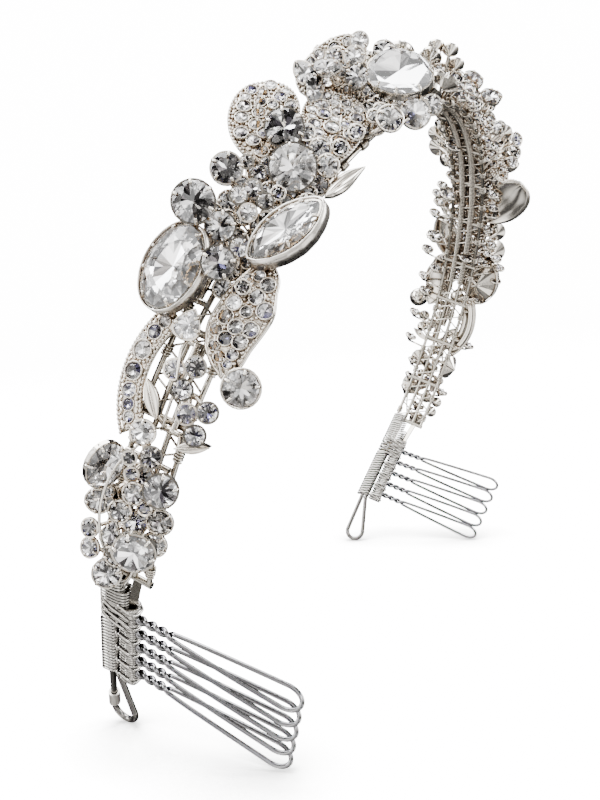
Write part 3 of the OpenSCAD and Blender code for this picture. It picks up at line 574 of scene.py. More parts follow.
def cut(stones, pattern):
    """Stones of one pattern: each point is the stone's place, plus its outline's radius at the
    point's angle times the point's share along the two flat axes, plus its height along the third.
    Pairs of neighbouring facets share a tone of painted reflection, drawn by lot and shifted for a dark or
    clear stone."""
    (angle, share, height), crown, below = pattern
    at, axes, width = (np.array([g[key] for g in stones]) for key in ("at", "axes", "width"))
    dark, star = (np.array([g.get(key, 0.0) for g in stones])[:, None] for key in ("dark", "star"))
    radius = np.array([radius_at(g, angle) for g in stones]) * share
    local = at_turns(radius, angle, height * width[:, None])
    points = (at[:, None] + np.einsum("npi,nij->npj", local, axes)).reshape(-1, 3)
    faces = copied(crown + below, len(stones), len(angle))
    which = np.concatenate([np.full(len(f), int(i >= len(crown))) for i, f in enumerate(faces)])
    tones = []
    for f in crown + below:
        tone = np.repeat(CHANCE.random((len(stones), -(-len(f) // 2))), 2, 1)[:, :len(f)]
        rayed = np.where(np.arange(len(f)) % 2, STAR_DARK, STAR_BRIGHT + STAR_RANGE * tone)
        tones.append(np.clip(np.where(star, rayed, tone) + dark, 0, LAST_TONE).ravel())
    return (points, faces), which, np.concatenate(tones)


def glass(name, groups):
    """One piece from groups of stones and their cuts: glass above, foil below, flat facets."""
    shapes, which, tone = zip(*(cut(stones, pattern) for stones, pattern in groups if stones))
    return piece(name, join(shapes), [CRYSTAL, FOIL], smooth=False,
                 which=np.concatenate(which), tone=np.concatenate(tone))


# Nearly all table, a broad table, a shallow back for large stones, the usual one, the small cut
CUTS = brilliant(0.05, 0.8), brilliant(0.14, 0.74), brilliant(0.16), brilliant(0.2), small_cut(0.2)
FLAT_BACK = small_cut(0.12)
LARGE_MM, PAVE_MM = 8.0, 2.3


def by_size(stones):
    """The stones of each cut: flat and broad ones by their mark, the rest by their length."""
    def number(g):
        length = g["length"] / MM
        return 0 if g.get("flat") else 1 if g.get("broad") else 2 + (length <= LARGE_MM) + (length <= PAVE_MM)
    return [([g for g in stones if number(g) == i], pattern) for i, pattern in enumerate(CUTS)]


# %% [markdown]
# The comb is one spring wire per tooth: folded in half, its two strands twisted together at the
# root, opened into a long narrow loop, and bound to the spine. The path follows that order, out
# along one strand, round the tip and back along the other, so strands meet as the real ones do.

# %% Combs
COMB_LOW, TOOTH_PITCH, TEETH, SPINE_V, SPINE_D, SPINE_OVER = 18.5, 4.0, 5, 1.2, 2.0, 1.2
TOOTH_D, LOOP_W, TWIST_LENGTH, TOOTH_LENGTH = 0.9, 2.7, 8.0, 34.5
TWISTS, STRAND_APART = 2.0, 0.47
# In use the loops have sprung open and turned, so the tips stand a trifle higher off the floor
OPEN_W, TIP_LONG, TIP_LIFT = 3.7, 1.7, np.radians(0.75)
TOOTH_FAN = np.radians(0.6)
RISE_S, RISE_V = np.cos(LEG_SLOPE) * np.cos(LEAN), np.sin(LEAN)
RISE = np.hypot(RISE_S, RISE_V)
TIP_REACH = SPINE_D / 2 + TOOTH_LENGTH - LOOP_W / 2 - TOOTH_D / 2
TIP_RISE = (RISE_S * COMB_LOW - RISE_V * SPINE_V - RISE * LOOP_W / 2 - TOOTH_D / 2) / TIP_REACH
TOOTH_DROP = np.arcsin(TIP_RISE / RISE) - np.arctan2(RISE_V, RISE_S)


def tooth_path():
    """Centre line of a tooth, as distance from the spine, offset across and offset outward:
    the twist is a circle of half a wire against distance, the legs open by the 0.8 power, and the
    tip is half an ellipse."""
    root, half, end = SPINE_D / 2 + TWIST_LENGTH, OPEN_W / 2, np.cos(2 * np.pi * TWISTS)
    out = np.linspace(0, root, 70)
    turn = 2 * np.pi * TWISTS * out / root
    reach = TIP_REACH + LOOP_W / 2 - TIP_LONG * half
    leg = np.linspace(root, reach, 30)[1:]
    opening = ((leg - root) / (reach - root)) ** 0.8
    across = end * STRAND_APART + (end * half - end * STRAND_APART) * opening
    bend = np.linspace(0, np.pi, 18)[1:-1]
    one = np.stack([np.concatenate([out, leg]), np.concatenate([STRAND_APART * np.cos(turn), across]),
                    np.concatenate([STRAND_APART * np.sin(turn), 0 * leg])], -1)
    tip = np.stack([reach + TIP_LONG * half * np.sin(bend), end * half * np.cos(bend), 0 * bend], -1)
    return np.concatenate([one, tip, one[::-1] * [1, -1, -1]])


def comb(mirror, twist):
    """Spine and teeth of one comb: each tooth's path is turned about itself by twist, then in the
    band's surface by its drop, less the fan for each tooth above the lowest, and set at its root."""
    path = tooth_path() @ turned_by(0, twist).T
    paths = []
    for i in range(TEETH):
        forward, along, out = (path @ turned_by(2, -TOOTH_DROP + TIP_LIFT + i * TOOTH_FAN).T).T
        paths.append(place(COMB_LOW + i * TOOTH_PITCH + along, SPINE_V + forward, out, mirror=mirror))
    outward = unit(place(20, 0, 1, mirror=mirror) - place(20, 0, 0, mirror=mirror))
    ends = COMB_LOW - SPINE_OVER, COMB_LOW + (TEETH - 1) * TOOTH_PITCH + SPINE_OVER
    spine = place(np.linspace(*ends, 8), SPINE_V, 0, mirror=mirror)
    return join([wires(paths, TOOTH_D / 2 * MM, 10, outward), wires(spine, SPINE_D / 2 * MM, 16, outward)])


# The loops are turned out of the comb's plane, each comb by its own amount
for side, mirror, twist in zip(SIDES, (1, -1), (-48, -15)):
    made = piece(f"comb_{side}", comb(mirror, np.radians(twist)), [STEEL])
    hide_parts(f"{side}_comb")

# %% [markdown]
# The comb is bound to the band's legs with fine wire. The binder winds the rear strands closely,
# carries a few turns round the comb's spine between each pair of teeth, and finishes with looser
# turns up the leg. A turn is a rounded box round what it holds, and it climbs a little each time.

# %% Bindings
# Stations from and to, turns, rear and front, half width, wire's diameter, slant, phase
WINDINGS = [(15.9, 31.6, 30, -5.0, -1.8, 0.85, 0.56, 0, 0), (15.9, 31.6, 18, -5.4, -1.9, 1.2, 0.62, 0.9, 0),
            (16.4, 36.2, 24, -1.1, 0.4, 1.0, 0.5, 0, 0), (16.6, 37.2, 34, -0.1, 2.3, 1.0, 0.56, 0.3, 0),
            (31.5, 37.5, 6, -5.35, 2.4, 1.2, 0.62, 0.7, 0), (32, 37.4, 3, -5.2, 2.3, 1.6, 0.62, -1.3, 1),
            (36.2, 40.6, 6, -5.35, 0.6, 1.25, 0.56, 0.7, 0), (39.8, 43.4, 5, -5.35, -0.4, 1.2, 0.56, 0.6, 0),
            (42.6, 46.4, 6, -5.35, -1.2, 1.1, 0.5, 0.5, 0)]
# The same, with stations from the middle of a gap between teeth: close turns and one loose one
GAP_WINDINGS = [(-1.05, 1.05, 3, -1.1, 2.45, 1.2, 0.6, 0.2, 0),
                (-0.4, 0.8, 1, -1.9, 2.75, 1.55, 0.6, -0.7, 2)]
STEPS_A_TURN = 26


def winding(s_from, s_to, turns, rear, front, half, d, slant, phase, mirror):
    """Wire wound round the leg: a rounded box from rear to front, with its corners as the 0.6
    power of cosine and sine, climbing evenly from one station to the other; slant tips each turn."""
    t = np.linspace(0, 2 * np.pi * turns, STEPS_A_TURN * turns) + phase
    soft = lambda a: np.sign(a) * np.abs(a) ** 0.6
    v = (rear + front) / 2 + (front - rear) / 2 * soft(np.cos(t))
    h = half * soft(np.sin(t))
    s = np.linspace(s_from, s_to, len(t)) + slant * np.cos(t)
    up = unit(place(20, 0, 0, mirror=mirror) - place(21, 0, 0, mirror=mirror))
    return wires(place(s, v, h, mirror=mirror), d / 2 * MM, 8, up)


def binding(mirror):
    """All the windings of one foot."""
    gaps = COMB_LOW + (np.arange(TEETH + 1) - 0.5) * TOOTH_PITCH
    rows = WINDINGS + [(s + a, s + b, *rest) for s in gaps for a, b, *rest in GAP_WINDINGS]
    return join([winding(*row, mirror) for row in rows])


for side, mirror in zip(SIDES, (1, -1)):
    made = piece(f"binding_{side}", binding(mirror), [BINDING])
    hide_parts(f"{side}_binding")

# %% [markdown]
# Between its long wires the band is laced with fine wire, crossing from edge to edge like the
# diagonals of a fence, and it is wound round the outer wires beside each bar. The lacing keeps the
# castings from turning. It lies just above and below the long wires, so that crossings don't meet.
# Over the crown the two middle wires are wound closely along their whole length.

# %% Lacing
RAILS = np.array([-4.5, -1.5, 1.5, 4.5])
LACE_FROM, BAY, LACE_OUT, LACE_UP, LACE_D = 46.0, 5.0, 4.7, 0.62, 0.42
# Coils beside the bars: the first station, the gap to the next, and each one's length, turns, radius
COIL_FROM, COIL_GAP, COIL_LONG, COIL_TURNS, COIL_R = 47.0, 7.5, 1.9, 4, 0.72
# The close winding: where it starts, its pitch and radius, and its wire
STRIP_FROM, CLOSE_PITCH, CLOSE_R, CLOSE_D = 97.0, 0.62, 0.8, 0.52


def lacing(far):
    """Diagonals over half the arch: from each rear place to the front one a bay on, and back, one
    set above the wires and one below, with a slight bow between."""
    t = np.linspace(0, 1, 9)
    s = np.arange(LACE_FROM, HALF_ARCH - BAY, BAY)[:, None] + BAY * t
    bow = LACE_UP * np.cos(np.pi * (t - 0.5))
    paths = [place(s, sign * (2 * t - 1) * LACE_OUT, sign * bow, far) for sign in (1, -1)]
    return [wires(path, LACE_D / 2 * MM, 6, (0.1, 0.9, 0.2)) for path in paths]


def edge_winds(far):
    """Short coils round the two outer wires beside each bar."""
    shapes = []
    t = np.linspace(0, 2 * np.pi * COIL_TURNS, 14 * COIL_TURNS)
    for s0 in np.arange(COIL_FROM, HALF_ARCH - 2, COIL_GAP):
        for v0 in (RAILS[0], RAILS[3]):
            s = s0 + np.linspace(0, COIL_LONG, len(t))
            path = place(s, v0 + COIL_R * np.cos(t), COIL_R * np.sin(t), far)
            up = unit(place(s0 + 1, v0, 0, far) - place(s0, v0, 0, far))
            shapes.append(wires(path, LACE_D / 2 * MM, 6, up))
    return shapes


def middle_winds(far):
    """Close turns round each of the two middle wires, from the sprig to the crown, which bind the
    castings' stalks down and pad the band: a circle against distance."""
    turns = (HALF_ARCH - STRIP_FROM) / CLOSE_PITCH
    t = np.linspace(0, 2 * np.pi * turns, int(10 * turns))
    s = np.linspace(STRIP_FROM, HALF_ARCH, len(t))
    up = unit(place(s + 1, 0, 0, far) - place(s, 0, 0, far))
    return [wires(place(s, v + CLOSE_R * np.cos(t), CLOSE_R * np.sin(t), far), CLOSE_D / 2 * MM, 6, up)
            for v in RAILS[1:3]]


for name, wound in (("band_lacing", lacing), ("band_winds", edge_winds), ("band_middle_wind", middle_winds)):
    piece(name, join(wound(0) + wound(1)), [WIRE])

# %% [markdown]
# Claws hold each stone: a little bent wire rises outside the cup, leans in over the girdle and ends
# in a rounded tip on the crown. Small rounds have four, large stones six or eight.

# %% Claws
# A claw's five places from the cup to its tip: out from the outline, up from the girdle, both as
# shares of the stone's width, and its thickness as a share of the wire's
CLAW_OUT = np.array([0.03, 0.05, 0.04, -0.02, -0.07])
CLAW_UP = np.array([-0.16, -0.03, 0.07, 0.12, 0.14])
CLAW_TAPER = np.array([0.8, 0.9, 0.9, 0.85, 0.8])
# The width past which claws stop growing; the crown's slope, which lifts a tip on a wider stone; the
# wire's radius as a share of the width, its least and its most; the tip's ball against the wire
CLAW_WIDEST, CROWN_SLOPE, CLAW_THICK, CLAW_LEAST, CLAW_MOST = 4.5 * MM, 0.14, 0.09, 0.17 * MM, 0.32 * MM
TIP_BALL = 1.1875


def claw_count(g):
    """Four claws under 3 mm, five to 5.5 mm, six to 9 mm, eight on the largest."""
    mm = g["length"] / MM
    return 4 if mm < 3 else 5 if mm < 5.5 else 6 if mm < 9 else 8


def claws(stones):
    """Claws round many stones: each place is the outline's radius plus the way out, at the claw's
    turn, and the way up. On a stone wider than 4.5 mm the tip is lifted, to lie on the crown. At
    the widest stones their backs would stand 0.15 mm out of the frame's box, and are flattened."""
    paths, radii = [], []
    for g in stones:
        width, count = g["width"], claw_count(g)
        turn = (np.arange(count) + 0.5)[:, None] * 2 * np.pi / count
        span = min(width, CLAW_WIDEST)
        lift = (width - span) * CROWN_SLOPE * np.clip(-8 * CLAW_OUT, 0, 1)
        out = radius_at(g, turn) - g.get("over", 0.0) + CLAW_OUT * span
        paths.append(g["at"] + at_turns(out, turn, CLAW_UP * span + lift) @ g["axes"])
        radii.append(np.tile(CLAW_TAPER * np.clip(CLAW_THICK * width, CLAW_LEAST, CLAW_MOST), (count, 1)))
    paths, radii = np.concatenate(paths), np.concatenate(radii)
    up = unit(np.roll(paths, 1, 0)[:, :1] - paths[:, :1] + 1e-9)
    points, faces = join([wires(paths, radii, 6, up), repeat(BALL, paths[:, -1], radii[:, -1] * TIP_BALL)])
    return np.clip(points, *CAD_BOX), faces


# %% [markdown]
# The leaves are castings too fine for the frame's plain plates: lobed blades with a raised midrib, a
# beaded rim and paving from edge to edge. Each is placed as in the frame, by its station, its
# distances to the front and outward, and three turns. Its edges are curves through a few points
# in its own plane, in millimetres, from the tip to the foot.

# %% Placing and curves
def stand(s, v, h, front, up, turn, far=0):
    """Origin and axes of a casting: along the arch, to the rear and outward, turned by front, then
    turn, then up, then by the arch's heading, half a turn on the far side, and the lean."""
    front, up, turn = np.radians([front, up, turn])
    made = turned_by(1, -float(heading(s))) @ turned_by(1, up) @ turned_by(2, turn) @ turned_by(0, front)
    half_turn = np.diag([1 - 2.0 * far, 1 - 2.0 * far, 1])
    return place(s, v, h, far), (turned_by(0, LEAN) @ half_turn @ made).T


def smooth(rows, count):
    """A smooth curve through rows: each span is the cubic that leaves one row and reaches the next
    with the slopes that their neighbours give."""
    rows = np.asarray(rows, float)
    t = np.linspace(0, len(rows) - 1, count)
    i = np.minimum(t.astype(int), len(rows) - 2)
    u = (t - i)[:, None]
    slope = np.gradient(rows, axis=0)
    return (rows[i] * (2 * u**3 - 3 * u**2 + 1) + slope[i] * (u**3 - 2 * u**2 + u)
            + rows[i + 1] * (3 * u**2 - 2 * u**3) + slope[i + 1] * (u**3 - u**2))


def evenly(path, gap):
    """Points at even distances along a path, by its running length."""
    length = np.concatenate([[0], np.cumsum(np.linalg.norm(np.diff(path, axis=0), axis=1))])
    at = np.linspace(0, length[-1], max(2, int(length[-1] / gap) + 1))
    return np.stack([np.interp(at, length, path[:, k]) for k in range(path.shape[1])], -1)


# %% [markdown]
# A blade is a grid between its left edge, its midrib and its right edge. It falls away on a large
# radius like the frame's plates, and each half swells a little between midrib and rim.

# %% Blades
DOME, BLADE_T, HALF_COLUMNS = 45.0, 0.8, 5


def blade(edges, swell=0.25, steps=30, dome=DOME):
    """The blade's closed grid, top and underside, and its top points, from its left edge, midrib
    and right edge. Height is minus the squared distance from the middle over twice the dome's
    radius, plus the swell times 4t(1-t)."""
    left, middle, right = (smooth(line, steps) for line in edges)
    t = np.linspace(-1, 1, 2 * HALF_COLUMNS + 1)[:, None]
    edge = np.where(t[None] < 0, left[:, None], right[:, None])
    flat = middle[:, None] + np.abs(t) * (edge - middle[:, None])
    wide = np.minimum(1, np.linalg.norm(left - right, axis=1) / 3)[:, None]
    a = np.abs(t[:, 0])[None]
    z = -(flat ** 2).sum(-1) / (2 * dome) + swell * wide * 4 * a * (1 - a)
    top = np.concatenate([flat, z[..., None]], -1)
    rows, columns = top.shape[:2]
    n = rows * columns
    points = np.concatenate([top.reshape(-1, 3), (top - [0, 0, BLADE_T]).reshape(-1, 3)])
    k = np.arange(n).reshape(rows, columns)
    under = facets(k[:-1, :-1], k[:-1, 1:], k[1:, 1:], k[1:, :-1])
    border = np.concatenate([k[0, :-1], k[:-1, -1], k[-1, :0:-1], k[:0:-1, 0]])
    after = np.roll(border, -1)
    walls = facets(border, after, after + n, border + n)
    return (points, [under[:, ::-1], under + n, walls]), top


def inside(points, outline):
    """Whether points lie inside an outline, by counting the edges to their right, and how far
    they lie from its nearest edge."""
    a, b = outline, np.roll(outline, -1, 0)
    x, y = points[:, :1], points[:, 1:]
    crosses = (a[:, 1] > y) != (b[:, 1] > y)
    level = np.where(b[:, 1] == a[:, 1], 1.0, b[:, 1] - a[:, 1])
    odd = (crosses & (x < a[:, 0] + (y - a[:, 1]) * (b[:, 0] - a[:, 0]) / level)).sum(1) % 2 == 1
    way = b - a
    share = np.clip(((points[:, None] - a) * way).sum(-1) / np.maximum((way ** 2).sum(-1), 1e-9), 0, 1)
    return odd, np.linalg.norm(points[:, None] - a - share[..., None] * way, axis=-1).min(1)


STONES_APART = 0.04


def strew(outline, taken, sizes, margin, seed, tries=900):
    """Circles thrown at an outline, the largest size first. One stays where it clears the edge and
    every circle already there. Returns the new rows: x, y and radius."""
    chance = np.random.default_rng(seed)
    low, high = outline.min(0), outline.max(0)
    rows = [tuple(row) for row in taken]
    first = len(rows)
    for radius in sizes:
        thrown = low + chance.random((tries, 2)) * (high - low)
        odd, edge = inside(thrown, outline)
        for x, y in thrown[odd & (edge > radius + margin)]:
            held = np.array(rows).reshape(-1, 3)
            if (np.hypot(held[:, 0] - x, held[:, 1] - y) > held[:, 2] + radius + STONES_APART).all():
                rows.append((x, y, radius))
    return np.array(rows[first:]).reshape(-1, 3)


# %% [markdown]
# A small round stone sits in a collar, a plain ring cast with the blade, and grains raised from the
# metal hold it. Both are one shape repeated: a ring of twelve sides and the little ball.

# %% Collars, grains and paving
COLLAR = turned([[0, -0.6], [1.0, -0.6], [1.2, -0.4], [1.2, 0.08], [1.09, 0.18], [0.98, 0.08], [0.98, -0.2],
                 [0, -0.3]], 12)
EDGE_MARGIN, GRAIN_SIZES, GRAIN_UP = 0.25, (0.34, 0.26), 0.1
# The larger stones of a paving get darker foil tones than the rest: painted darker reflections
SET_DARKER = 0.15


def drop_on(top, rows):
    """Heights of a blade's top at rows, each from the nearest point of its grid."""
    grid = top.reshape(-1, 3)
    near = ((rows[:, None, :2] - grid[None, :, :2]) ** 2).sum(-1).argmin(1)
    return grid[near, 2]


def paved(origin, axes, top, taken, sizes, seed):
    """Metal and stones of a paving: collars round the stones, grains in the gaps, and for each
    stone its place, axes and sizes, in the same form as those read from the frame."""
    outline = np.concatenate([top[:, 0, :2], top[::-1, -1, :2]])
    every = np.concatenate([taken, strew(outline, taken, sizes, EDGE_MARGIN, seed)])
    grains = strew(outline, every, GRAIN_SIZES, 0.0, seed + 1, 2500)
    on_blade = lambda rows, lift: np.column_stack([rows[:, :2], drop_on(top, rows) + lift])
    to_place = lambda rows, lift: origin + on_blade(rows, lift) @ axes * MM
    seats = to_place(every, 0.08 + 0.24 * every[:, 2])
    metal = [repeat(COLLAR, seats, every[:, 2] * MM, axes),
             repeat(BALL, to_place(grains, GRAIN_UP), grains[:, 2] * MM, axes)]
    set_in = [{"at": at, "axes": axes, "width": 2 * r * MM, "outline": np.full(OUTLINE_STEPS, r * MM),
               "dark": SET_DARKER * (i < len(taken))} for i, (at, r) in enumerate(zip(seats, every[:, 2]))]
    return metal, set_in


CUP_WALL, CUP_GAP, CUP_SIDES = 0.41 * MM, 0.06 * MM, 24
# The cup's rings: grown by the wall or only the gap, at heights as shares of the width
CUP_GROWN = np.array([[CUP_WALL], [CUP_WALL], [CUP_GAP], [CUP_GAP]])
CUP_HEIGHTS = np.array([[-0.1], [0.05], [0.05], [-0.03]])


def cups(stones):
    """Open cups: the stone's outline grown by the gap and the wall, from a point below, round the
    lip and back down inside."""
    turn = around(CUP_SIDES)
    shapes = []
    for g in stones:
        w = g["width"]
        rings = at_turns(radius_at(g, turn) + CUP_GROWN, turn, CUP_HEIGHTS * w)
        points, faces = shell([0, 0, -0.43 * w - 1.4 * CUP_WALL], rings, [0, 0, -0.4 * w])
        shapes.append((g["at"] + points @ g["axes"], faces))
    return join(shapes)


def rods(rows, far):
    """Straight wires with round ends: rows of two places on the arch and a diameter."""
    shapes = []
    for a, b, d in rows:
        ends = np.array([place(*a, far), place(*b, far)])
        up = unit(np.cross(unit(ends[1] - ends[0]), [0.3, 0.5, 0.81]))
        shapes += [wires(ends, d / 2 * MM, 12, up), repeat(BALL, ends, d / 2 * MM)]
    return shapes


# %% [markdown]
# Each blade below has its own row of placing, its edges, and the stones that the frame already
# carries on it, as x, y and radius. The rest of the paving is strewn round those. The frame's own
# paving stones are then drawn with the leaf, so they are taken off the list of the others.

# %% Paved leaves and stem
LINK_H, LINK_D, STALK_D = 1.35, 1.1, 0.8
PAVING_SIZES = (1.15, 1.0, 0.85, 0.7)
# Rims, beads on them and midrib: radius of the wire or bead, and how far it stands off the blade
RIM_R, RIM_DOWN, BEAD_R, BEAD_UP, BEAD_GAP, RIB_R, RIB_UP = 0.36, 0.2, 0.33, 0.1, 0.75, 0.33, 0.15
# Each blade: its placing; left edge, midrib and right edge; the frame's stones on it; the radii of
# the strewn ones, where they aren't the usual; links, which lie at one height, by the station and
# forward distance of both ends; stalks by both ends; and the places of its cups
LEAVES = {
    "paved_leaf_long": {
        "beaded": False,
        "stand": (95, 6.8, 3.6, 10, 0, 4),
        "edges": (
            [(9.6, -0.4), (8.4, 1.6), (4.6, 3.4), (0.7, 4.4), (-3, 4.8), (-6.2, 4), (-8.9, 2), (-10.6, -0.6)],
            [(9.6, -0.4), (6.6, 1.1), (2, 2.9), (-3, 3.2), (-6.5, 2.3), (-9, 0.5), (-10.6, -0.6)],
            [(9.6, -0.4), (7.2, -2.5), (4.6, -3.2), (1.3, -4.2), (-1.6, -3.9), (-5.2, -3), (-8.2, -2.4),
             (-10.6, -0.6)]),
        "taken": [(3.4, 2.2, 1.3), (3, -0.8, 1.2), (1.4, -2.9, 1.3), (-2.2, -2, 1.2), (-1.6, 2.6, 1.2),
                  (-4.9, 1.2, 1.1), (6.6, 0.4, 0.9), (-6.8, -0.8, 0.9), (0.2, -0.2, 0.9)],
        "links": [(92.5, 2, 92.5, 4.4), (100.5, 2, 100.5, 4.4), (92.5, 3.2, 100.5, 3.2)],
        "stalks": [(92.5, 3.2, LINK_H, 92.5, 3.2, 3.2), (100.5, 3.2, LINK_H, 100.5, 3.2, 3.2),
                   (84.6, 11.6, 3.6, 87.5, 9.2, 2.9)],
        "cups": [(84.6, 12.6, 5.6)]},
    "paved_leaf_round": {
        "stand": (128.8, -10.2, 8.4, 12, -14, 30),
        "edges": (
            [(5.8, -0.4), (4.7, 2.7), (2, 4.9), (-2, 5.9), (-6.4, 5.3), (-9.8, 3.1), (-11.6, 0.2)],
            [(5.8, -0.4), (3, -0.2), (-0.4, 0.9), (-4.5, 1), (-8.4, 0.3), (-11.6, 0.2)],
            [(5.8, -0.4), (5.3, -3.4), (3, -5.4), (-0.4, -6), (-4.4, -4.9), (-8.4, -2.8), (-11.6, 0.2)]),
        "taken": [(4.6, -1.2, 1.0), (3.2, 2.2, 1.0), (1.8, -2.8, 1.1), (-0.6, 3.4, 1.2), (-2.2, -2.6, 1.2),
                  (-4.4, 1.4, 1.1), (0.6, 0.6, 1.0)],
        "links": [(130.6, -4.4, 130.6, -2.8)],
        "stalks": [(130.6, -3.6, LINK_H, 130.2, -6.0, 5.4), (130.6, -4.0, LINK_H, 129.4, -7.6, 7.4)]},
    "paved_leaf_heart": {
        "stand": (134.9, 1.4, 4.6, 12, -8, 22),
        "edges": (
            [(9.6, 1.2), (9.6, 4), (7.4, 5.8), (3.9, 6.8), (0.8, 6.7), (-2.7, 5.6), (-6.6, 3.6),
             (-10.6, 0.6)],
            [(9.6, 1.2), (6.8, 0.8), (3, 0.3), (-0.6, 0.1), (-6, 0.4), (-10.6, 0.6)],
            [(9.6, 1.2), (8.6, -1.7), (6.2, -3.6), (2.9, -4.5), (-1.4, -4), (-5.9, -2.4), (-10.6, 0.6)]),
        "taken": [(1.5, 3.2, 1.2), (3, 0.8, 1.2), (-1.6, 1.4, 1.4), (-4.6, -0.2, 1.3), (-2.6, -2.2, 1.4),
                  (2.2, -2.6, 1.2), (6, -0.4, 1.0), (-0.2, -0.8, 0.9)],
        "sizes": (1.2, 1.0, 0.85, 0.7),
        "links": [(131.5, 1.8, 131.5, 4.4), (137, -1.5, 137, 4.4), (131.5, 2.4, 137, 2.4)],
        "stalks": [(131.5, 3.1, LINK_H, 131.5, 3.1, 4.1), (137, 1.45, LINK_H, 137, 1.45, 4.1),
                   (137.6, 8.6, 5.0, 137, 4.0, LINK_H), (128.2, 4.2, 2.2, 121.6, 8.2, 3.0)],
        "cups": [(137.6, 9.4, 6.8)]},
    "crown_leaf": {
        "stand": (146, -6.5, 8.0, 15, -50, 0),
        "edges": ([(7.2, -2.8), (6.6, 0.7), (3.5, 4), (-0.9, 6), (-3.8, 6.1), (-5.6, 4.6)],
                  [(7.2, -2.8), (3.1, -0.5), (-0.6, 1.8), (-5.6, 4.6)],
                  [(7.2, -2.8), (3.3, -4.6), (-0.3, -3.5), (-3.7, -1.3), (-6, 1.6), (-5.6, 4.6)]),
        "taken": [(3.5, 1.5, 1.1)],
        "sizes": (1.05, 0.9, 0.75),
        "stalks": [(146, -4.4, LINK_H, 144.5, -6, 6.5), (151, -4.4, LINK_H, 149, -6.5, 6.0)]},
    "side_leaf": {
        "stand": (144.5, -3.5, 6, -15, 85, 56),
        "edges": ([(9.4, 0), (7, 2), (3, 3), (-1, 3.1), (-5, 2.4), (-9.4, 0)],
                  [(9.4, 0), (4, 0.5), (0, 0.4), (-5, 0.2), (-9.4, 0)],
                  [(9.4, 0), (7, -1.6), (3, -2.4), (-1, -2.6), (-5, -2), (-9.4, 0)]),
        "taken": [(5.2, 0.8, 1.1)],
        "stalks": [(141, -1.5, LINK_H, 143.5, -2.6, 4.6), (147, -4.4, LINK_H, 145, -5.4, 6.4)]},
}
# The stem is cut from flat strip, so its dome is next to infinite. Its stones are set along the
# middle of its bow, each at an angle and of a width
STEM_AT, STEM_R, STEM_HALF, FLAT_DOME = (82, 9.5, 2.6), 16.6, 2.0, 1e6
STEM_STONES = ((63, 2.0), (71, 2.4), (83, 3.0), (96, 2.9), (107, 2.4), (115, 2.0), (122, 1.8))
LEAVES["paved_stem"] = {
    "dome": FLAT_DOME,
    "stand": (*STEM_AT, 0, 0, 0),
    "edges": [at_turns(r, np.radians(np.linspace(56, 129, 9)), 0)[:, :2]
              for r in (STEM_R + STEM_HALF, STEM_R + 0.05, STEM_R - STEM_HALF)],
    "taken": [(STEM_R * np.cos(a), STEM_R * np.sin(a), d / 2)
              for a, d in ((np.radians(degrees), d) for degrees, d in STEM_STONES)],
    "sizes": (1.05, 0.9, 0.75, 0.6),
    "stalks": [(s, -5.2, 0.8, s, -5.9, 2.2) for s in (77, 87.5)]}
SMOOTH_AT = (123.6, 9.2, 3.6, 15, -5, -16)
SMOOTH_LEAF = ([(4.4, 0), (1.1, 1.4), (-2.5, 1.5), (-5, 0.4)], [(4.4, 0), (0.3, 0.2), (-5, 0.4)],
               [(4.4, 0), (-0.5, -1.1), (-3.5, -0.7), (-5, 0.4)])
# A stone of the frame this near to one of a leaf's own is the same stone
SAME_STONE = 0.5 * MM

for far, side in enumerate(SIDES):
    for spec in LEAVES.values():
        origin, axes = stand(*spec["stand"], far)
        x, y, _ = np.array(spec["taken"]).T
        drop = (x**2 + y**2) / (2 * spec.get("dome", DOME))
        on_plate = origin + np.column_stack([x, y, -drop]) @ axes * MM
        for name in (f"{side}_{group}" for group in JOINED):
            STONES[name] = [g for g in STONES[name]
                            if np.linalg.norm(on_plate - g["at"], axis=1).min() > SAME_STONE]
print("stones left beside the leaves", sum(map(len, STONES.values())))


def stone_at(side, spot, far):
    """The stone of a side that lies nearest to a place on the arch."""
    at = place(*spot, far)
    every = [g for name in SINGLE + JOINED for g in STONES[f"{side}_{name}"]]
    return min(every, key=lambda g: np.linalg.norm(g["at"] - at))


def leaf(name, spec, side, far, seed):
    """One leaf of one side: blade, rims, midrib, rods and cups as one metal piece, its paving's
    stones as one crystal piece."""
    origin, axes = stand(*spec["stand"], far)
    body, top = blade(spec["edges"], dome=spec.get("dome", DOME))
    to_place = lambda points, lift=0.0: origin + (points + [0, 0, lift]) @ axes * MM
    rims, rib = (top[:, 0], top[:, -1]), top[:, top.shape[1] // 2]
    metal, set_in = paved(origin, axes, top, np.array(spec["taken"]), spec.get("sizes", PAVING_SIZES), seed)
    metal += [(to_place(body[0]), body[1])]
    metal += [wires(to_place(line, -RIM_DOWN), RIM_R * MM, 8, axes[2]) for line in rims]
    if spec.get("beaded", True):
        beads = np.concatenate([evenly(line, BEAD_GAP) for line in rims])
        metal.append(repeat(BALL, to_place(beads, BEAD_UP), BEAD_R * MM, axes))
    if "dome" not in spec:
        metal.append(wires(to_place(rib, RIB_UP), RIB_R * MM, 8, axes[2]))
    metal += rods([((s, v, LINK_H), (s1, v1, LINK_H), LINK_D) for s, v, s1, v1 in spec.get("links", [])]
                  + [(row[:3], row[3:], STALK_D) for row in spec["stalks"]], far)
    if "cups" in spec:
        metal.append(cups([stone_at(side, spot, far) for spot in spec["cups"]]))
    if name == "paved_leaf_heart":
        origin, axes = stand(*SMOOTH_AT, far)
        (points, faces), _ = blade(SMOOTH_LEAF, swell=0.35, steps=20)
        metal.append((origin + points @ axes * MM, faces))
    made = piece(f"{name}_{side}", join(metal), [SILVER])
    if name not in ("crown_leaf", "side_leaf"):
        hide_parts(f"{side}_{name}")
    glass(f"{name}_{side}_paving", [(set_in, FLAT_BACK)])


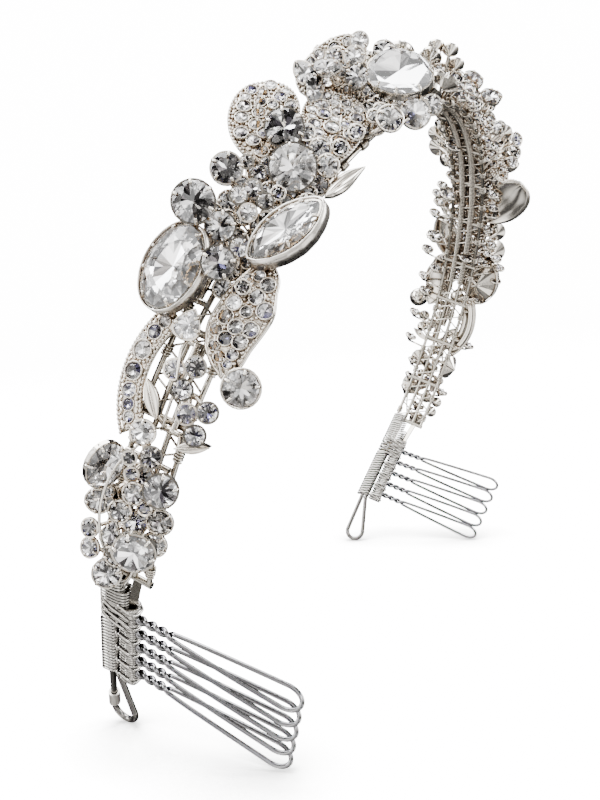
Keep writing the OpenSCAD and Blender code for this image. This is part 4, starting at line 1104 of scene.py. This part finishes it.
# The small smooth leaves of the sprig and the bud: place, length, width and turns
SMALL_LEAVES = [(77.6, -1.9, 3.4, 7.0, 2.4, 10, 0, 38), (73.6, 8.0, 4.0, 6.2, 1.9, 15, 0, -66),
                (59.8, -3.2, 3.4, 6.0, 3.2, 0, 0, 10)]
SKIN_RISE, RIDGE_R = 0.14, 0.16


def skins(far):
    """A ridged skin on each small leaf: its half width is the half width of the leaf times
    one less the square of the share of the way to the tip."""
    shapes = []
    for s, v, h, long, wide, front, up, turn in SMALL_LEAVES:
        x = np.linspace(long / 2, -long / 2, 7)
        half = wide / 2 * (1 - (2 * x / long) ** 2)
        (points, faces), top = blade([np.column_stack([x, y]) for y in (half, 0 * x, -half)], -0.12, 24)
        origin, axes = stand(s, v, h, front, up, turn, far)
        to_place = lambda points: origin + (points + [0, 0, SKIN_RISE]) @ axes * MM
        ridge = to_place(top[:, top.shape[1] // 2])
        shapes += [(to_place(points), faces), wires(ridge, RIDGE_R * MM, 6, axes[2])]
    return shapes


# One stone beside the long leaf is much clearer than the rest. Paving is strewn from its own seeds
CLEAR_AT, CLEARER = (90, -0.2, 5.4), -0.6
PAVING_SEED = 11
for far, side in enumerate(SIDES):
    piece(f"small_leaves_{side}", join(skins(far)), [SILVER])
    stone_at(side, CLEAR_AT, far)["dark"] = CLEARER
    for count, (name, spec) in enumerate(LEAVES.items()):
        if name != ("side_leaf", "crown_leaf")[far]:
            leaf(name, spec, side, far, PAVING_SEED + 3 * count)

# %% [markdown]
# The other stones each make a piece in their node's place, and their claws follow.

# %% Crystals and their claws
for name, stones in STONES.items():
    made = glass("crystal_" + name, by_size(stones))
    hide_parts(name)

for side in SIDES:
    for group in JOINED:
        piece(f"claws_{side}_{group}", claws(STONES[f"{side}_{group}"]), [SILVER])
    large = [g for name in SINGLE for g in STONES[f"{side}_{name}"]]
    piece(f"claws_{side}_large", claws(large), [SILVER])

# %% [markdown]
# Between the large stones the castings are filled with small ones, each in a plain cup on its own
# wire. They are too many and too small to be worth a row each, so they are strewn: a place near the
# band is kept when it is clear of every stone and leaf. Both halves carry the same castings, so one
# set of rows serves both. A few pointed stones at the crown have rows of their own.

# %% Small stones between
# Station, forward, outward, length, width, and turns to the front, up and about
POINTED = [(146.1, -5.4, 10.6, 4.8, 2.4, 15, -50, 60), (146.8, -10.0, 9.0, 5.0, 2.6, 15, -50, 40),
           (148.9, -7.6, 11.4, 4.4, 2.4, 15, -50, 85), (151.4, -10.4, 9.4, 4.2, 2.4, 10, -45, 30),
           (142.6, -9.6, 8.6, 4.4, 2.4, 15, -50, 20), (153.6, 3.4, 8.4, 4.6, 2.4, 15, -55, 70)]
POINTED_FAR = (-15, 85)
# How sharp their ends are
POINT = 0.35
# Turns to the front and up at five stations, for the near half and the far one
FACING_S = [60, 98, 122, 150, 190]
FACING = (([20, 22, 22, 18, 12], [0, -16, -32, -45, -40]), ([-12] * 5, [90, 85, 72, 60, 45]))
# Strewn stones: the width, the first station and the length of the stretch
STREWN_SIZES = ((3.9, 50, 17), (3.3, 50, 17), (3.2, 97, 92), (2.7, 97, 92), (2.2, 97, 92), (1.8, 97, 92))
STREWN_TRIES, CLEAR_BY, LEAF_HELD, FOOT_D = 1500, 0.3, 0.5 * MM, 0.6
# In front, the bindings stay bare up to this station
BARE_BELOW = 55
# The far half has sprays of its own: station, forward, outward, width
SPRAYS = [(156, -4.5, 8, 4.5), (168.5, -3.5, 7, 4.0), (171.5, -6, 9, 3.4), (183.5, -3.5, 8, 3.0),
          (184.5, 2.5, 7, 2.2), (183.5, 0.5, 8, 2.2), (178.5, 0.5, 7, 2.2), (177.5, 3.5, 6, 2.2),
          (177, 2, 5, 2.0), (114, -4, 4, 2.8), (111.5, -7.5, 5, 3.1), (106.5, -9.5, 6, 3.2),
          (105, -7, 4, 2.9), (103, -11, 7, 2.9), (99, -11, 6, 3.2), (109, -2, -1.4, 3.6), (123, -5, 6, 6.0),
          (140.5, 5, 0, 2.6), (134.5, 8, 0, 2.6), (133, 5.5, -1, 5.0), (125.5, 9.5, 1, 2.7),
          (119.5, 11, 2, 2.8), (129, 10, 1, 2.7), (104.5, 12, 2, 3.2), (94.5, 11.5, 2, 3.2),
          (100, 7.5, 0, 3.2), (112, 9.5, 0, 4.6), (157, 3, 0, 4.4), (81, 11.5, 2, 3.2), (72.5, 10.5, 2, 3.2),
          (65, 7, 2, 3.0), (90, 9.5, 1, 3.8), (91.5, -7.5, 4, 3.2), (84.5, -6.5, 4, 3.0), (76, -9, 4, 3.2)]


def set_stone(s, v, h, length, width, front, up, turn, far, point=0.0):
    """A stone as measured ones are kept: place, axes, sizes, and its outline's radii. The outline
    is length/2 cos t and width/2 sin t |sin t|^point, and radii are read off at even angles."""
    at, axes = stand(s, v, h, front, up, turn, far)
    t = np.linspace(-np.pi, np.pi, 240, endpoint=False)
    x, y = length / 2 * np.cos(t), width / 2 * np.sin(t) * np.abs(np.sin(t)) ** point
    outline = np.interp(EVEN, np.arctan2(y, x), np.hypot(x, y), period=2 * np.pi) * MM
    return {"at": at, "axes": axes, "width": width * MM, "length": length * MM, "outline": outline}


def between():
    """Rows of the strewn stones: the largest first, each clear of all that stand already."""
    chance = np.random.default_rng(seed=23)
    held = [(g["at"], g["length"] / 2) for name in STONES if name.startswith("near") for g in STONES[name]]
    held += [(place(*row[:3]), row[3] / 2 * MM) for row in POINTED]
    for spec in LEAVES.values():
        origin, axes = stand(*spec["stand"])
        _, top = blade(spec["edges"], dome=spec.get("dome", DOME))
        held += [(p, LEAF_HELD) for p in origin + (top[::2, ::2].reshape(-1, 3) + [0, 0, 0.4]) @ axes * MM]
    at, size = map(np.array, zip(*held))
    rows = []
    for width, s_from, length in STREWN_SIZES:
        spots = chance.random((3, STREWN_TRIES)) * [[length], [12.6], [3.8]] + [[s_from], [-6.3], [2.3]]
        for (s, v, h), p in zip(spots.T, place(*spots)):
            free = s > BARE_BELOW or v < 1
            if free and (np.linalg.norm(at - p, axis=1) > size + (width / 2 + CLEAR_BY) * MM).all():
                at, size = np.vstack([at, p]), np.append(size, width / 2 * MM)
                rows.append((s, v, h, width))
    return rows


def faced(rows, far):
    """Round stones' rows with the way that they face, by station, on one half."""
    front, up = (lambda s, f=f: float(np.interp(s, FACING_S, f)) for f in FACING[far])
    return [(s, v, h, width, width, front(s), up(s), 0.0) for s, v, h, width in rows]


def feet(rows):
    """Stalks under stones: from behind the cup to the nearest long wire of the band."""
    made = []
    for s, v, h, _, width, front, up, *_ in rows:
        back, front, up = 0.43 * width + 0.3, np.radians(front), np.radians(up)
        s, v = s - back * np.sin(up) * np.cos(front), v - back * np.sin(front)
        top = (s, v, h - back * np.cos(up) * np.cos(front))
        made.append((top, (s, RAILS[np.abs(RAILS - v).argmin()], 0.4), FOOT_D))
    return made


# Loose ends of stalk wire run between the castings as tendrils: rows of places that each passes
TENDRILS = [[(71, 0, 6), (67, -1.5, 8), (61.5, -1.8, 8.8), (56, -0.5, 8.4), (52, 0.6, 6)],
            [(89, 1, 3), (86.5, 0.5, 5.2), (81, 2.4, 5.6), (74, 1.5, 3)],
            [(58, 2, 1), (57, 4.5, 5), (53, 5.5, 7), (49, 4, 7), (47, 1.6, 2)]]
TENDRIL_R, TENDRIL_BALL = 0.26 * MM, 0.3 * MM


def tendrils(far):
    """Thin round wires, each a smooth curve through its places."""
    curves = [place(*smooth(rows, 40).T, far) for rows in TENDRILS]
    ends = np.array([curve[i] for curve in curves for i in (0, -1)])
    return [wires(curves, TENDRIL_R, 8, (0.2, 0.9, 0.4)), repeat(BALL, ends, TENDRIL_BALL)]


STREWN = between()
for far, side in enumerate(SIDES):
    rounds = faced(STREWN + far * SPRAYS, far)
    points = [(*row[:5], *POINTED_FAR, row[7]) if far else row for row in POINTED]
    stones = [set_stone(*row, far) for row in rounds] + [set_stone(*row, far, POINT) for row in points]
    glass(f"crystal_{side}_between", by_size(stones))
    metal = join([cups(stones)] + rods(feet(rounds + points), far) + tendrils(far))
    piece(f"cups_{side}_between", metal, [SILVER])
    piece(f"claws_{side}_between", claws(stones), [SILVER])
print("stones between", len(STREWN))

# %% [markdown]
# The marquise and the side oval are framed by deep bezels, strips of sheet bent round the stone.

# %% Deep bezels
SHEET = plated("silver_plate_sheet", "#DAD7D1", "#7C6446", 0.28, 0.45, 0.2)
BEZEL_GAP, BEZEL_SIDES, BEZEL_RISE = 0.42 * MM, 64, 0.05


def bezel(g, out, deep, flare):
    """A wall round a stone: four rings of its outline, grown inside by the gap and outside by out,
    plus a flare at the foot, from a rise over the girdle down to a depth, as parts of the width."""
    turn, sides = around(BEZEL_SIDES), BEZEL_SIDES
    grown = np.array([[BEZEL_GAP], [out], [out + flare], [BEZEL_GAP]])
    height = np.array([[BEZEL_RISE], [BEZEL_RISE], [-deep], [-deep]]) * g["width"]
    points = at_turns(radius_at(g, turn) + grown, turn, height).reshape(-1, 3)
    j, k = np.arange(sides), (np.arange(sides) + 1) % sides
    row = np.arange(4)[:, None] * sides
    after = np.roll(row, -1)
    return g["at"] + points @ g["axes"], [facets(row + j, after + j, after + k, row + k)]


for side in SIDES:
    walls = [bezel(STONES[f"{side}_navette"][0], 0.75 * MM, 0.34, 0.3 * MM),
             bezel(STONES[f"{side}_side_oval"][0], 0.6 * MM, 0.2, 0.1 * MM)]
    piece(f"bezels_{side}", join(walls), [SHEET])

# %% [markdown]
# The nodes that stay as they are get their finish: the band's wires, the castings and the ferrule.

# %% Finish of the kept nodes
KEPT = {"band_frame": WIRE, "near_ferrule": SATIN}
for name, thing in NODES.items():
    if thing.hide_render:
        continue
    thing.data.materials.clear()
    thing.data.materials.append(KEPT.get(name, SILVER))

# %% [markdown]
# The stage is a pale sweep: a floor that curves up into a wall well behind the piece, so there is
# no horizon. Bright metal shows what stands round it, so the light is broad and soft, from above
# and both sides, and the side that the camera stands on is darker. That dark side is what gives
# silver its edges and crystals their black facets.

# %% Stage and light
SWEEP, tree = blank("paper_sweep_white")
spot = node(tree, "TexCoord").outputs["Object"]
fibre = node(tree, "TexNoise", Vector=spot, Scale=1 / (8 * MM), Detail=3.0)
tone = node(tree, "MapRange", Value=fibre.outputs[0], To_Min=0.93, To_Max=0.95)
white = node(tree, "CombineColor", Red=tone.outputs[0], Green=tone.outputs[0], Blue=tone.outputs[0])
# Painted soft contact shadow: the paper glows less where something stands within 20 mm of it
close = node(tree, "AmbientOcclusion", samples=8, Distance=20 * MM)
glow = node(tree, "MapRange", Value=close.outputs["AO"], From_Min=0.78, From_Max=1.0, To_Min=0.8,
            To_Max=14.0)
finish(tree, node(tree, "BsdfPrincipled", Base_Color=white.outputs[0], Roughness=0.9,
                  Emission_Color=(1, 1, 1, 1), Emission_Strength=glow.outputs[0]))


def sweep_surface():
    """Paper sweep: flat, then a quarter circle, then upright, extruded to both sides and turned so
    that its wall faces the camera."""
    bend, wall, near, half = 0.6, 2.2, -1.6, 2.6
    a = np.linspace(0, np.pi / 2, 24)
    depth = np.concatenate([[near, 0.2], 1.4 + bend * np.sin(a), [1.4 + bend]])
    rise = np.concatenate([[0, 0], bend * (1 - np.cos(a)), [wall]])
    flat = unit(np.array([ahead[0], ahead[1], 0]))
    aside = np.array([flat[1], -flat[0], 0])
    line = depth[:, None] * flat + rise[:, None] * [0, 0, 1]
    points = np.concatenate([line - half * aside, line + half * aside])
    n = len(line)
    k = np.arange(n - 1)
    return points, facets(k, k + n, k + n + 1, k + 1)


points, faces = sweep_surface()
sweep = bpy.data.objects.new("sweep", bpy.data.meshes.new("sweep"))
sweep.data.from_pydata(points.tolist(), [], faces.tolist())
sweep.data.materials.append(SWEEP)
sweep.data.polygons.foreach_set("use_smooth", [True] * len(faces))
bpy.context.scene.collection.objects.link(sweep)
# The camera sees white paper; metal and glass are lit by the room round it instead
sweep.visible_glossy = sweep.visible_transmission = sweep.visible_diffuse = sweep.visible_shadow = False


AIM = (0, 0, 0.07)


def softbox(name, at, size, watts):
    """A white area light at a place, turned to the middle of the piece, of a size in metres."""
    lamp = bpy.data.lights.new(name, "AREA")
    lamp.shape, lamp.size, lamp.size_y, lamp.energy = "RECTANGLE", *size, watts
    thing = bpy.data.objects.new(name, lamp)
    bpy.context.scene.collection.objects.link(thing)
    back = unit(np.array(at) - AIM)
    side = unit(np.cross([0, 0.01, 1], back))
    place_it = np.eye(4)
    place_it[:3, 0], place_it[:3, 1], place_it[:3, 2], place_it[:3, 3] = side, np.cross(back, side), back, at
    thing.matrix_world = Matrix(place_it.tolist())


softbox("light_top", (0.1, 0.2, 0.9), (1.0, 0.8), 34)
softbox("light_left", (-0.5, 0.6, 0.45), (0.3, 0.6), 9)
softbox("light_right", (0.35, -0.75, 0.4), (0.3, 0.6), 9)
softbox("light_front", (-0.65, -0.55, 0.65), (0.22, 0.22), 3)

world = bpy.data.worlds.new("studio")
bpy.context.scene.world = world
world.use_nodes = True
tree = world.node_tree
tree.nodes.clear()
way = node(tree, "TexCoord").outputs["Generated"]
blotch = node(tree, "TexNoise", Vector=way, Scale=2.8, Detail=1.0)
lit = node(tree, "MapRange", Value=blotch.outputs[0], From_Min=0.45, From_Max=0.64, To_Min=0.18, To_Max=5.0)
behind = node(tree, "VectorMath", operation="DOT_PRODUCT")
tree.links.new(way, behind.inputs[0])
behind.inputs[1].default_value = ahead
dim = node(tree, "MapRange", Value=behind.outputs["Value"], From_Min=-0.25, From_Max=0.35, To_Min=1.0,
           To_Max=0.05)
power = node(tree, "Math", operation="MULTIPLY")
tree.links.new(lit.outputs[0], power.inputs[0])
tree.links.new(dim.outputs[0], power.inputs[1])
shade = node(tree, "Background", Color=linear("#F6F3EF"), Strength=power.outputs[0])
node(tree, "OutputWorld", Surface=shade.outputs[0])
